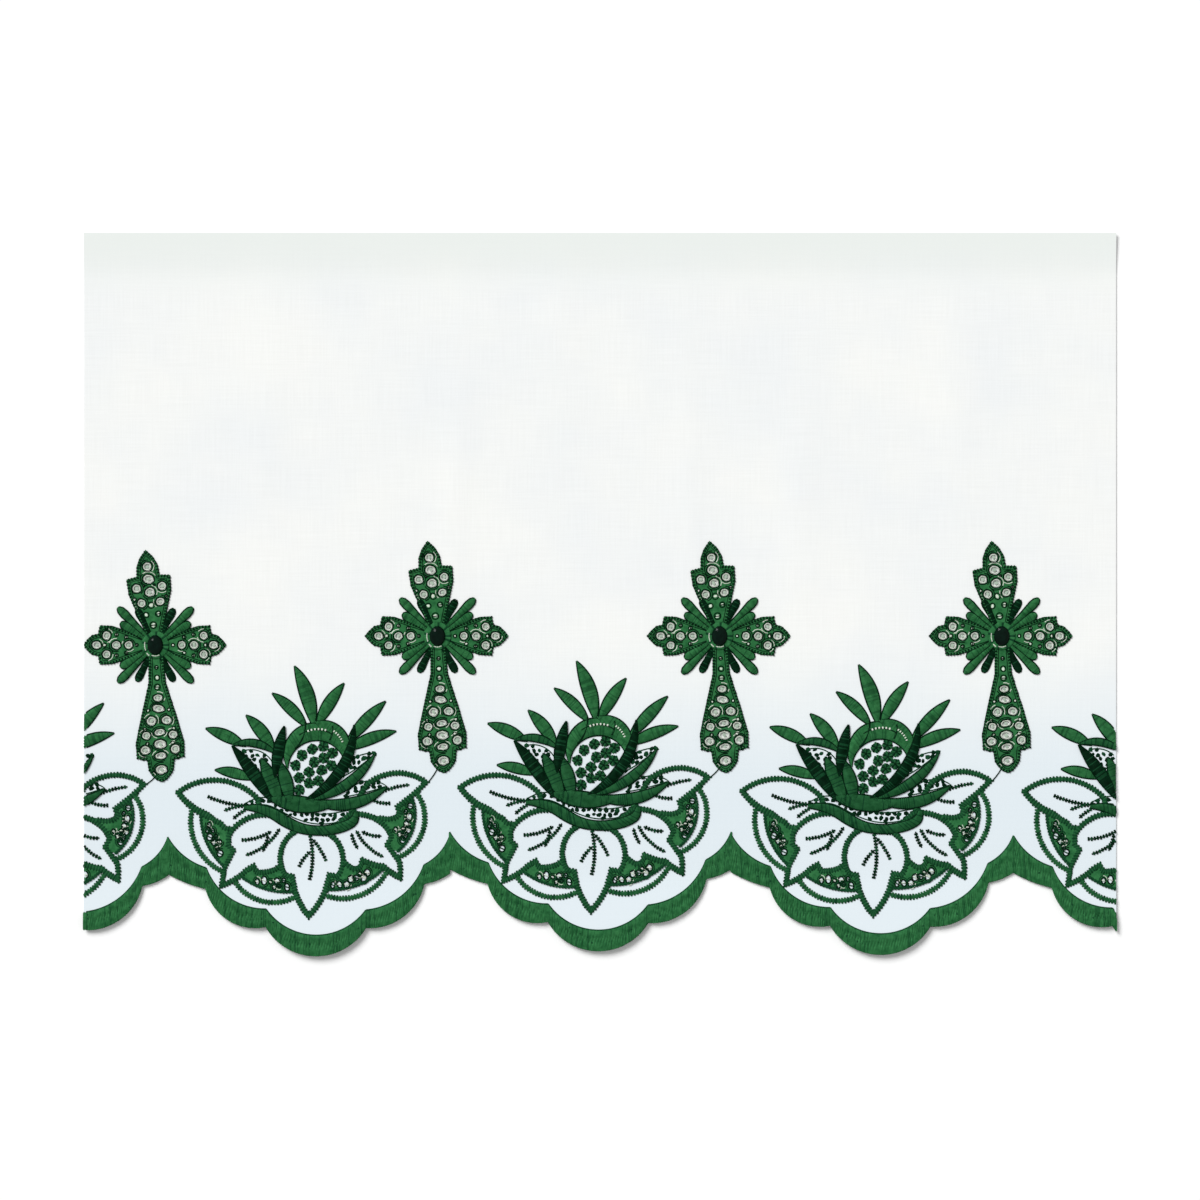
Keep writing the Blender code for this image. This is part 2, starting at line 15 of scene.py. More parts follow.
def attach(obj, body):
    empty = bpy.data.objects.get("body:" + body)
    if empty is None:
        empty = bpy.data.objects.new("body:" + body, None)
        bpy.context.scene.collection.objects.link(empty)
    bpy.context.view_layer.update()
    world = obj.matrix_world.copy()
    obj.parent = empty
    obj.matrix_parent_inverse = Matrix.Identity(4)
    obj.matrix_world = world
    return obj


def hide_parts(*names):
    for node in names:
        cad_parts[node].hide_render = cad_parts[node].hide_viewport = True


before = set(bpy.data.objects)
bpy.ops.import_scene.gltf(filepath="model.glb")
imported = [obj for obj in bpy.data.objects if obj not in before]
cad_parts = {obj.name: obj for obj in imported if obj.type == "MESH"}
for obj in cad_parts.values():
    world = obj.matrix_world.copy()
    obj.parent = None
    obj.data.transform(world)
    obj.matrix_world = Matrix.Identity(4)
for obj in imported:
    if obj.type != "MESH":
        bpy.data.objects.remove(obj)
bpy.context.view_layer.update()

MM = 0.001
RANDOM_SEED = 11

# The sheet
SHEET_WIDTH = 516.0
SHEET_DEPTH = 361.5
HALF_WIDTH = SHEET_WIDTH / 2
SHEET_TOP = 0.8
SHEET_SPACING = 4.0

# The repeat along the hem
REPEAT = 141.0
MIDDLE_CENTRE = -4.75
LOWEST_DROP = 2.5
HEM_Y = -SHEET_DEPTH / 2 + LOWEST_DROP
REPEATS = (
    # name, repeats from the middle, drop
    ("left", -2, 3.5),
    ("1", -1, LOWEST_DROP),
    ("2", 0, 0.0),
    ("3", 1, 1.8),
    ("right", 2, 2.0),
)

# Where the sheet lifts off the table: height above the hem line or below the top edge, and lift
HEM_LIFT = ((0.0, 2.0), (38.0, 0.0))
TOP_LIFT = ((0.0, 1.2), (20.0, 0.0))

# Soft ridges left in the linen
RIDGES = (
    # x, half width, height, y of the middle, half length, lean
    (-72.0, 7.0, 0.30, 50.0, 60.0, 0.04),
    (45.0, 6.0, 0.24, 55.0, 70.0, -0.03),
    (100.0, 9.0, 0.28, 40.0, 65.0, 0.02),
    (-165.0, 11.0, 0.22, 95.0, 70.0, 0.05),
    (178.0, 10.0, 0.20, 85.0, 75.0, -0.04),
    (-20.0, 12.0, 0.16, 130.0, 50.0, 0.03),
)
WAVE = 0.07
WAVE_X = 41.0
WAVE_Y = 33.0

SCALLOPS = (
    # x, outer height, inner height, outer bulge, inner bulge
    (-70.5, 41.0, 59.5, 0.8, 2.4),
    (-51.2, 33.5, 44.0, 7.2, 5.8),
    (-21.2, 14.5, 23.5, 14.25, 12.8),
    (28.8, 14.0, 23.0, 6.8, 5.4),
    (57.8, 36.0, 45.5, 0.8, 1.8),
    (70.5, 41.0, 59.5, 0.0, 0.0),
)
OUTER_LINE = (1, 3)
INNER_LINE = (2, 4)
LIP_WIDTH = 2.0

CROSS_X = -76.5
CROSS_HEIGHT = 157.5
FIRST_CROSS_DROP = 4.5
CROSS_ARMS = {
    # arm: heading in degrees, then rows of distance from the middle and half width
    "up": (96.0, ((5.0, 3.6), (26.5, 10.4), (33.8, 10.7), (34.6, 5.6), (40.0, 4.9), (43.9, 3.0),
                  (47.5, 0.0))),
    "left": (180.0, ((5.0, 3.6), (21.5, 9.2), (27.6, 9.5), (28.4, 5.4), (31.5, 4.6), (34.0, 2.4),
                     (36.0, 0.0))),
    "down": (272.7, ((5.0, 3.4), (19.0, 4.0), (39.5, 9.5), (49.0, 11.8), (56.2, 11.6), (57.2, 6.6),
                     (62.5, 5.9), (65.0, 4.4), (67.2, 2.4), (68.3, 0.0))),
    "right": (0.0, ((5.0, 3.6), (21.3, 9.2), (27.0, 9.5), (27.8, 5.4), (30.8, 4.6), (33.2, 2.4),
                    (35.2, 0.0))),
}
ARM_RIM = 1.5
CUT_START = 9.5
CROSS_CELLS = (
    # arm, distance, offset to each side (0 is one cell on the axis), half across, half along
    ("up", 39.4, 0.0, 2.3, 2.2),
    ("up", 33.2, 0.0, 2.9, 2.3),
    ("up", 29.0, 6.4, 2.3, 2.3),
    ("up", 26.6, 0.0, 2.6, 2.2),
    ("up", 21.4, 4.7, 2.2, 2.1),
    ("left", 29.4, 0.0, 2.1, 2.3),
    ("left", 24.4, 4.7, 2.2, 2.1),
    ("left", 19.6, 0.0, 2.1, 2.3),
    ("left", 13.4, 0.0, 2.1, 2.2),
    ("right", 29.0, 0.0, 2.1, 2.3),
    ("right", 24.1, 4.7, 2.2, 2.1),
    ("right", 19.3, 0.0, 2.1, 2.3),
    ("right", 13.2, 0.0, 2.1, 2.2),
    ("down", 26.4, 0.0, 2.5, 1.8),
    ("down", 31.8, 0.0, 3.1, 2.0),
    ("down", 37.8, 3.8, 2.5, 2.3),
    ("down", 43.7, 0.0, 2.7, 1.8),
    ("down", 45.1, 6.7, 2.3, 2.1),
    ("down", 49.6, 0.0, 3.1, 2.2),
    ("down", 52.4, 7.5, 2.5, 2.3),
    ("down", 55.4, 0.0, 3.0, 1.7),
    ("down", 62.3, 0.0, 2.9, 2.5),
)
# Small cells between the open ones, worked but not open wider than a thread
CROSS_DOTS = (
    # arm, distance, offset to each side, radius
    ("up", 20.0, 0.0, 1.6),
    ("up", 15.4, 3.0, 1.4),
    ("up", 10.0, 0.0, 1.7),
    ("up", 30.0, 2.6, 0.6),
    ("up", 23.6, 8.0, 0.9),
    ("left", 9.3, 0.0, 0.8),
    ("left", 14.6, 3.9, 0.9),
    ("left", 25.4, 0.0, 1.0),
    ("left", 19.4, 5.2, 0.9),
    ("right", 8.8, 0.0, 0.8),
    ("right", 14.4, 3.9, 0.9),
    ("right", 25.1, 0.0, 1.0),
    ("right", 19.1, 5.2, 0.9),
    ("down", 11.2, 0.0, 0.9),
    ("down", 16.4, 0.0, 1.4),
    ("down", 21.0, 0.0, 1.5),
    ("down", 32.6, 5.2, 0.8),
    ("down", 42.0, 7.2, 0.9),
    ("down", 49.2, 6.3, 0.9),
    ("down", 56.4, 8.6, 0.9),
)
COLLAR_RADIUS = 6.8
# Painted highlights on the stone's rim, laid as pale strands between the stone and its collar
COLLAR_GLINTS = (
    # heading in degrees, half spread, distance
    (272.0, 24.0, 5.5),
    (186.0, 20.0, 6.1),
    (228.0, 9.0, 6.3),
)
RAYS = (
    # angle from the horizontal, reach, width, level over the linen, tone
    (32.5, 20.5, 4.2, 0.3, "mid"),
    (45.0, 26.3, 4.0, 0.3, "mid"),
    (63.0, 20.3, 3.4, 0.1, "deep"),
)
RAY_START = 4.5
RAY_CROWN = 0.5
# Shares of a ray's length, each with the share of its width there
RAY_PROFILE = ((0.0, 0.40), (0.5, 0.72), (0.80, 1.0), (0.92, 0.86), (0.985, 0.42), (1.0, 0.10))
# Faceted stone, from its base up: half across, half along and level of each ring
GEM_RINGS = ((3.8, 4.8, 1.2), (4.0, 5.1, 2.0), (3.5, 4.5, 2.8), (2.7, 3.6, 3.4), (1.7, 2.5, 3.7))
GEM_SIDES = 12
GEM_BULGE = 1.03

OPEN_LEAVES = {
    # leaf: rows of x, height, bulge, width
    "upper_left": ((-24.0, 78.6, 8.6, 1.9), (-66.6, 82.0, 1.4, 1.9), (-52.0, 69.2, 0.4, 3.2),
                   (-44.6, 65.6, 0.0, 2.0), (-42.4, 63.0, 0.0, 1.8), (-36.0, 62.4, 0.0, 1.8),
                   (-24.0, 69.0, 0.0, 2.0)),
    "upper_right": ((20.0, 72.2, 1.0, 2.0), (41.0, 67.4, 0.6, 2.0), (46.6, 70.2, 0.0, 2.0),
                    (46.0, 74.0, 0.4, 2.4), (60.2, 87.0, 6.0, 1.9), (28.0, 86.0, 0.0, 2.0)),
    "lower_left": ((-14.0, 70.0, 5.4, 2.0), (-40.8, 60.8, 0.0, 2.0), (-41.0, 55.0, 0.0, 1.8),
                   (-38.6, 52.6, 0.0, 1.8), (-43.0, 44.0, 0.0, 1.8), (-44.6, 33.8, 1.0, 1.9),
                   (-30.0, 42.2, 0.0, 2.2), (-27.8, 43.6, 0.0, 2.0), (-26.2, 40.8, 0.8, 1.9),
                   (-15.4, 42.8, 2.0, 1.9), (-5.0, 64.0, 0.0, 2.0)),
    "lower_right": ((11.0, 64.0, 1.4, 2.0), (16.6, 47.4, 0.6, 2.0), (22.4, 42.4, 0.4, 2.0),
                    (26.4, 43.0, 0.0, 1.9), (27.6, 46.4, 0.4, 2.2), (37.0, 43.4, 0.4, 2.6),
                    (46.6, 37.6, 0.4, 1.9), (46.4, 47.6, 0.0, 1.9), (40.4, 55.6, 0.0, 1.9),
                    (42.8, 59.8, 4.6, 2.0), (20.0, 71.6, 0.0, 2.0)),
    "centre": ((-6.0, 64.0, 5.6, 2.0), (-12.4, 39.8, 0.0, 1.9), (-9.0, 39.0, 0.0, 2.0),
               (-7.6, 31.2, 0.8, 2.2), (0.2, 18.6, 0.8, 2.2), (9.4, 32.0, 0.0, 2.2),
               (11.2, 39.4, 0.0, 2.0), (15.2, 38.8, 5.0, 1.9), (11.0, 62.0, 0.0, 2.0)),
}
VEINS = (
    # x, height, x, height, bulge
    (0.2, 62.0, 0.6, 38.5, 1.6),
    (2.2, 58.0, 8.6, 48.0, 0.5),
    (0.6, 52.0, -4.6, 45.0, -0.5),
    (-14.6, 63.4, -31.0, 50.6, 2.0),
    (-19.0, 62.0, -33.0, 58.0, 0.9),
    (-20.4, 60.0, -22.8, 52.6, 0.4),
    (24.0, 62.4, 37.0, 49.8, -1.6),
    (27.0, 62.0, 36.0, 60.0, -0.6),
    (21.6, 61.0, 24.4, 54.0, -0.4),
    (-28.0, 75.0, -50.0, 79.6, 1.2),
    (-31.0, 75.2, -41.8, 72.8, -0.6),
    (-30.0, 73.8, -37.4, 68.8, -0.4),
    (32.0, 80.2, 50.0, 85.6, 0.8),
    (31.0, 78.6, 40.4, 76.4, -0.8),
)
BANDS = (
    # x, height, x, height, bulge, width
    (-57.0, 77.4, -42.6, 42.0, 7.6, 1.8),
    (-37.4, 38.2, -5.4, 30.4, 7.0, 1.8),
    (6.4, 31.2, 39.6, 43.2, 7.4, 1.8),
    (44.6, 49.2, 54.0, 81.6, 8.4, 1.8),
)
CRESCENTS = (
    # x, height, x, height, outer bulge, inner bulge
    (-53.4, 76.4, -42.8, 45.4, 5.4, 15.0),
    (-35.4, 41.2, -5.6, 32.4, 4.6, 12.0),
    (7.6, 33.4, 37.4, 43.6, 4.8, 12.0),
    (44.6, 52.4, 51.4, 80.0, 6.0, 14.0),
)
SOLID_LEAVES = (
    # x, height, x, height, left bulge, right bulge
    (2.6, 114.4, -7.0, 145.0, 1.8, 5.2),
    (-0.8, 114.2, -18.2, 131.4, 1.6, 3.8),
    (4.0, 114.4, 17.8, 136.4, 3.8, 2.0),
    (-31.4, 104.8, -51.4, 113.8, 2.0, 3.6),
    (-17.0, 102.4, -31.2, 120.4, 2.0, 4.0),
    (-27.4, 88.2, -46.8, 93.0, 1.6, 3.4),
    (19.0, 106.0, 38.6, 127.4, 3.6, 2.2),
    (18.4, 102.6, 43.8, 112.4, 4.0, 1.6),
)
HOOD = (
    # x, height, x, height, left bulge, right bulge
    (-10.4, 94.0, 18.0, 98.0, 20.6, -11.8),
    (3.0, 117.0, 20.4, 101.0, 7.0, 0.4),
)
# Dark lines between the hood's lobes, and rows of pale stitches across it
HOOD_LINES = (
    # x, height, x, height, bulge
    (-1.5, 117.0, -6.6, 103.6, 1.6),
    (12.0, 115.0, 10.6, 108.0, 0.8),
    (-4.6, 110.4, 12.0, 110.8, 2.6),
)
HOOD_MARKS = (
    # x, height, x, height, bulge
    (-0.5, 112.4, 9.8, 112.6, 1.0),
    (12.6, 112.6, 17.4, 106.4, 0.6),
    (-4.4, 112.6, -2.6, 110.4, 0.2),
)
BOWL = (-20.4, 79.2, 12.0, 75.0, 2.8, 5.2)
PETALS = (
    # x, height, x, height, left bulge, right bulge
    (-16.0, 101.0, -38.0, 105.4, -1.4, 5.0),
    (-13.5, 75.4, -23.6, 99.0, 3.4, 3.6),
    (-9.0, 75.4, -14.4, 97.4, 2.6, 3.8),
    (2.0, 78.2, 33.4, 101.4, -1.6, 6.4),
    (0.0, 78.2, 39.4, 84.8, -2.6, 8.2),
)
BLADES = (
    # x, height, x, height, left bulge, right bulge
    (-18.4, 77.0, -38.2, 105.2, 2.2, 3.6),
    (-16.8, 89.4, -12.0, 115.0, 3.2, 2.0),
    (-1.4, 78.4, 22.8, 115.6, -4.2, 9.2),
)
RIM = (
    # x, height, width
    (-32.0, 74.4, 1.6),
    (-25.0, 74.0, 4.0),
    (-18.0, 71.6, 5.0),
    (-12.0, 67.6, 5.4),
    (-5.0, 64.0, 4.8),
    (3.0, 62.6, 4.4),
    (11.0, 63.0, 4.6),
    (18.0, 64.8, 4.8),
    (23.0, 67.4, 4.4),
    (24.0, 72.0, 2.4),
)
# Places worked with knots on the bare linen
STIPPLED = (
    # x, height, x, height, left bulge, right bulge
    (-32.5, 102.6, -16.5, 91.0, 5.0, 4.0),
    (13.0, 87.5, 33.4, 101.4, 4.2, 1.0),
    (18.0, 79.6, 39.0, 85.0, 5.0, 0.5),
)
STIPPLED_BAND = (
    # x, height, width
    (-31.5, 75.6, 1.4),
    (-25.5, 77.6, 3.4),
    (-19.0, 77.4, 4.0),
    (-12.0, 74.2, 4.6),
    (-5.0, 70.6, 5.0),
    (3.0, 68.4, 5.0),
    (11.0, 68.6, 5.0),
    (18.0, 70.2, 4.4),
    (23.0, 72.2, 2.2),
)
SEEDS = (
    # x, height
    (-6.5, 95.4),
    (-3.3, 100.4),
    (1.9, 103.4),
    (7.4, 104.6),
    (12.0, 101.6),
    (-4.8, 89.3),
    (2.8, 96.9),
    (7.6, 98.9),
    (11.4, 95.4),
    (-4.6, 83.1),
    (0.3, 92.0),
    (6.6, 92.9),
    (0.2, 86.4),
    (4.9, 87.6),
)
SEED_RADIUS = 2.7
SEED_SPOKES = 14
SEED_TONES = ("deep", "shade", "outline")

# Thread and how it is laid
TONES = ("mid", "shade", "outline", "deep", "light", "cell_light_and_shade")
PITCH = 0.78
FILL_PITCH = 0.55
HEM_PITCH = 0.55
LONG_STITCH = 6.5
OVERLAP = 1.3
# The darker tone that a share of a tone's stitches has
STREAKS = {"mid": "shade", "shade": "outline", "deep": "outline"}
SHADED_SHARE = 0.22
# How far stitches reach past their rails, and the shares of it that long and short ones take
JAG = 0.8
FILL_JAG = JAG * 0.4
HEM_JAG = 0.25
LONG_ENDS = (0.65, 1.0)
SHORT_ENDS = (-0.1, 0.1)
# How the joins in a row of long stitches shift from one stitch to the next
JOIN_STEP = 0.37
JOIN_SPREAD = 0.7
# Shares of a stitch's length, each with the share of its crown there, and how round its top is
STITCH_SECTIONS = ((0.07, 0.7), (0.5, 1.0), (0.93, 0.7))
RELIEF = 0.13
KNOT_SIDES = 6
KNOT_OVAL = 0.8
KNOT_UNEVEN = (0.7, 1.2)
KNOT_SPACING = 2.9
CELL_SPACING = 3.3
CELL_RADII = (0.7, 0.9, 1.2, 1.4)
CRESCENT_INSET = 0.8

# Steps and limits of the outlines
ORIGIN = Vector((0.0, 0.0))
ARC_STEP = 1.2
LEAF_STEP = 3.0
MERGE = 0.01
MITRE_LIMIT = 0.35
SOFT_ANGLE = 60
FACET_ANGLE = 5

# Plates under the stitches, and how far the reverse of the work stands out below the linen
PLATE_THICK = 0.4
HEM_PLATE_THICK = 0.45
HEM_PLATE_INSET = 0.35
BACK = 0.015

# Threads and knots: width or radius, level over the linen, crown, and tone where it never varies
# Dark strand round filled shapes: partly an outline, partly painted shade where the stitches end
EDGE_WIDTH = 0.9
EDGE_RISE = 0.15
EDGE_CROWN = 0.4
HEM_CROWN = 0.7
HEM_INNER_EDGE = (EDGE_WIDTH, 0.0, 0.5, "outline")
HEM_OUTER_EDGE = (EDGE_WIDTH / 2, 0.0, 0.35, "outline")
MESH_RING = (0.9, 0.35, 0.35, "deep")
MESH_BAR = (0.6, 0.2, 0.35)
MESH_RIM = (1.2, 0.15, 0.55, "outline")
VEIN = (0.8, 0.0, 0.45, "deep")
STIPPLE_EDGE = (EDGE_WIDTH * 0.7, 0.0, EDGE_CROWN, "outline")
SEED_STITCH = (1.1, 0.0, 0.5)
SEED_KNOT = (0.95, 0.4, 0.25, "deep")
HOOD_LINE = (EDGE_WIDTH, 0.7, 0.2, "deep")
HOOD_MARK = (1.0, 0.75, 0.3, "light")
ARM_EDGE = (0.8, 0.05, 0.6, "deep")
ARM_LINE = (0.5, 0.38, 0.2, "deep")
CELL_RING = (0.8, 0.35, 0.3, "deep")
# Pale ring in each open cell, painted light near its rim
CELL_PAINTED_LIGHT = (0.6, 0.1, 0.25, "light")
DOT_SLIT = (0.5, 0.6, 0.15, "deep")
COLLAR_STITCH = (1.5, 0.5, 0.65)
# Pale strand that paints a highlight on the stone's rim
GLINT = (0.6, 1.1, 0.25, "light")
JUMP = (0.6, 0.15, 0.4, "deep")
HEM_SPECK = (0.7, 0.6, 0.3, "outline")

# Threads that follow a stretch of the loop round a cell: tone, points of the loop, width
MESH_THREADS = (("light", 4, 0.45), ("deep", 4, 0.6), ("outline", 5, 0.7))
CELL_THREADS = (("deep", 6, 0.6), ("light", 4, 0.4), ("light", 3, 0.45))
# Their level over the linen and crown
MESH_STRETCH = (0.38, 0.27)
CELL_STRETCH = (0.4, 0.25)

# Stitches all round an outline: level over the linen, crown, tones by turns
LEAF_EDGE = (0.0, 0.6, ("shade", "outline"))
ARM_STITCHES = (0.25, 0.5, ("mid", "deep"))

# Where the jump thread leaves the cross, bends and ends, from the points it runs between
JUMP_START = Vector((-2.4, 2.4))
JUMP_BEND = Vector((0.3, -0.3))
JUMP_END = (-0.4, -0.2)

# Worked shapes of the flower: level over the linen, crown, tone
BAND_WORK = (0.0, 0.5, "shade")
LEAF_WORK = (0.05, 0.5, "mid")
HOOD_WORK = (0.15, 0.6, "mid")
RIM_WORK = (0.25, 0.55, "shade")
PETAL_WORK = (0.35, 0.55, "shade")
BLADE_WORK = (0.6, 0.55, "deep")

# Where the linen's colour changes along Y: a painted shade along the lifted top edge, then a darker,
# cooler tone towards the hem
LINEN_TINTS = (
    # y where it starts, y where it is full, colour
    (SHEET_DEPTH / 2 - 38.0, SHEET_DEPTH / 2 + 3.0, (0.83, 0.87, 0.84)),
    (HEM_Y + 165.0, HEM_Y + 72.0, (0.740, 0.815, 0.858)),
)

# Table, light and camera
TABLE_HALF = 2500.0
TABLE_DROP = 0.02
KEY_STRENGTH = 2.9
KEY_SPREAD = 30
KEY_DIRECTION = (0.62, -0.72, -0.82)
ROOM_STRENGTH = 0.44
LENS = 100.0
SENSOR = 36.0
FRAME_WIDTH = 600.0
FRAME_MIDDLE = HEM_Y + 175.5
CAMERA_REACH = 20.0


def arc(start, end, bulge, steps):
    """Points from start up to, but not with, end on a circle; a positive bulge is on the left."""
    chord = math.dist(start, end)
    along = Vector((end[0] - start[0], end[1] - start[1])) / chord
    left = Vector((-along.y, along.x))
    middle = (Vector(start) + Vector(end)) / 2
    if abs(bulge) < MERGE:
        return [Vector(start).lerp(Vector(end), step / steps) for step in range(steps)]
    radius = (chord * chord / 4 + bulge * bulge) / (2 * abs(bulge))
    half_turn = math.asin(min(1.0, chord / 2 / radius))
    if abs(bulge) > chord / 2:
        half_turn = math.pi - half_turn
    points = []
    for step in range(steps):
        turn = half_turn * (2 * step / steps - 1)
        rise = radius * math.cos(turn) + abs(bulge) - radius
        outward = left * math.copysign(rise, bulge * rise)
        points.append(middle + along * radius * math.sin(turn) + outward)
    return points


def fine_arc(start, end, bulge):
    """The arc with its end, in steps of about a millimetre."""
    steps = max(3, round(math.dist(start, end) / ARC_STEP))
    return arc(start, end, bulge, steps) + [Vector(end)]


def rails(row):
    """Both edges of a shape between two arcs, each from its base to its tip."""
    x_base, y_base, x_tip, y_tip, left_bulge, right_bulge = row
    base, tip = (x_base, y_base), (x_tip, y_tip)
    return fine_arc(base, tip, left_bulge), fine_arc(tip, base, right_bulge)[::-1]


def lens(row):
    """Closed loop of a shape between two arcs."""
    left, right = rails(row)
    return left[:-1] + right[:0:-1]


def ahead_and_side(heading):
    """Unit vectors along a heading in radians, and to its left."""
    ahead = Vector((math.cos(heading), math.sin(heading)))
    return ahead, Vector((-ahead.y, ahead.x))


def ellipse(middle, across, along, heading, sides):
    """Loop round an ellipse whose long way lies on the heading, in radians."""
    ahead, side = ahead_and_side(heading)
    turns = [math.tau * index / sides for index in range(sides)]
    return [middle + ahead * along * math.cos(turn) + side * across * math.sin(turn) for turn in turns]


def inset(loop, widths):
    """The counter-clockwise loop moved inwards by each corner's own width."""
    inner = []
    for index, point in enumerate(loop):
        before = (point - loop[index - 1]).normalized()
        after = (loop[(index + 1) % len(loop)] - point).normalized()
        side_before = Vector((-before.y, before.x))
        side_after = Vector((-after.y, after.x))
        mitre = (side_before + side_after).normalized()
        inner.append(point + mitre * widths[index] / max(mitre.dot(side_after), MITRE_LIMIT))
    return inner


def line_length(line):
    """Length of an open line."""
    return sum((b - a).length for a, b in zip(line, line[1:]))


def resampled(line, count):
    """The open line as count even steps."""
    total = line_length(line)
    points, walked, index = [line[0].copy()], 0.0, 0
    for step in range(1, count):
        goal = total * step / count
        while index < len(line) - 2 and walked + (line[index + 1] - line[index]).length < goal:
            walked += (line[index + 1] - line[index]).length
            index += 1
        piece = (line[index + 1] - line[index]).length
        points.append(line[index].lerp(line[index + 1], (goal - walked) / max(piece, MERGE)))
    return points + [line[-1].copy()]


def moved(loop, x, y):
    """The loop at a place on the sheet."""
    return [Vector((point[0] + x, point[1] + y)) for point in loop]


def turned(loop):
    """The loop counter-clockwise."""
    area = sum(a[0] * b[1] - b[0] * a[1] for a, b in zip(loop, loop[1:] + loop[:1]))
    return loop if area > 0 else loop[::-1]


def inside(point, loop):
    """Whether a point lies in a loop."""
    within = False
    for a, b in zip(loop, loop[1:] + loop[:1]):
        if (a.y > point.y) != (b.y > point.y):
            if point.x < a.x + (b.x - a.x) * (point.y - a.y) / (b.y - a.y):
                within = not within
    return within


def both_sides(line, widths):
    """Both edges of an open line that has its own width at each point."""
    left, right = [], []
    last = len(line) - 1
    for index, (point, width) in enumerate(zip(line, widths)):
        ahead = line[min(index + 1, last)] - line[max(index - 1, 0)]
        side = Vector((-ahead.y, ahead.x)).normalized() * width / 2
        left.append(point + side)
        right.append(point - side)
    return left, right


def row_arc(row, sign=1):
    """Fine arc of a row that starts with x, height, x, height and bulge."""
    x, height, x_end, height_end, bulge = row[:5]
    return fine_arc((x, height), (x_end, height_end), sign * bulge)


def extent(points):
    """Lowest and highest x, then lowest and highest y."""
    across, up = [point.x for point in points], [point.y for point in points]
    return min(across), max(across), min(up), max(up)


def lift(height, table):
    """Lift at a distance from an edge, straight between the rows of its table."""
    for (near, near_lift), (far, far_lift) in zip(table, table[1:]):
        if height < far:
            return near_lift + (far_lift - near_lift) * (height - near) / (far - near)
    return 0.0


def lie(x, y):
    """How far the linen's underside stands off the table."""
    total = lift(y - HEM_Y, HEM_LIFT) + lift(SHEET_DEPTH / 2 - y, TOP_LIFT)
    for ridge_x, half_width, high, middle_y, half_length, lean in RIDGES:
        across = (x - ridge_x - lean * (y - middle_y)) / half_width
        along = (y - middle_y) / half_length
        if abs(across) < 3 and abs(along) < 2:
            total += high * math.exp(-across * across - along * along)
    return total + WAVE * (1 + math.sin(x / WAVE_X) * math.cos(y / WAVE_Y + x / HALF_WIDTH))


def painted(layers, spacing=0.0):
    """Corners and triangles of the painted loops, where a later loop covers those before it.

    A layer is a loop and whether it is worked. Extra points at the spacing let a plate bend.
    """
    points, faces = [], []
    for loop, _worked in layers:
        first = len(points)
        points.extend(Vector(point) for point in turned(loop))
        faces.append(list(range(first, len(points))))
    cuts = (-HALF_WIDTH, HALF_WIDTH)
    if spacing:
        low_x, high_x, low_y, high_y = extent(points)
        columns = range(int(low_x / spacing), int(high_x / spacing) + 1)
        rows = range(int(low_y / spacing), int(high_y / spacing) + 1)
        points.extend(Vector((column * spacing, row * spacing)) for row in rows for column in columns)
        points.extend(Vector((x, row * spacing)) for row in rows for x in cuts)
    edges = []
    for x in cuts:
        edges.append((len(points), len(points) + 1))
        points.extend((Vector((x, -SHEET_DEPTH)), Vector((x, SHEET_DEPTH))))
    corners, _edges, triangles, _ids, _edge_ids, owners = delaunay_2d_cdt(points, edges, faces, 0, MERGE)
    kept = []
    for triangle, owner in zip(triangles, owners):
        middle_x = sum(corners[index].x for index in triangle) / len(triangle)
        if owner and layers[max(owner)][1] and abs(middle_x) < HALF_WIDTH:
            kept.append(tuple(triangle))
    return corners, kept


def add_object(name, data):
    """A new object in the scene."""
    made = bpy.data.objects.new(name, data)
    bpy.context.scene.collection.objects.link(made)
    return made


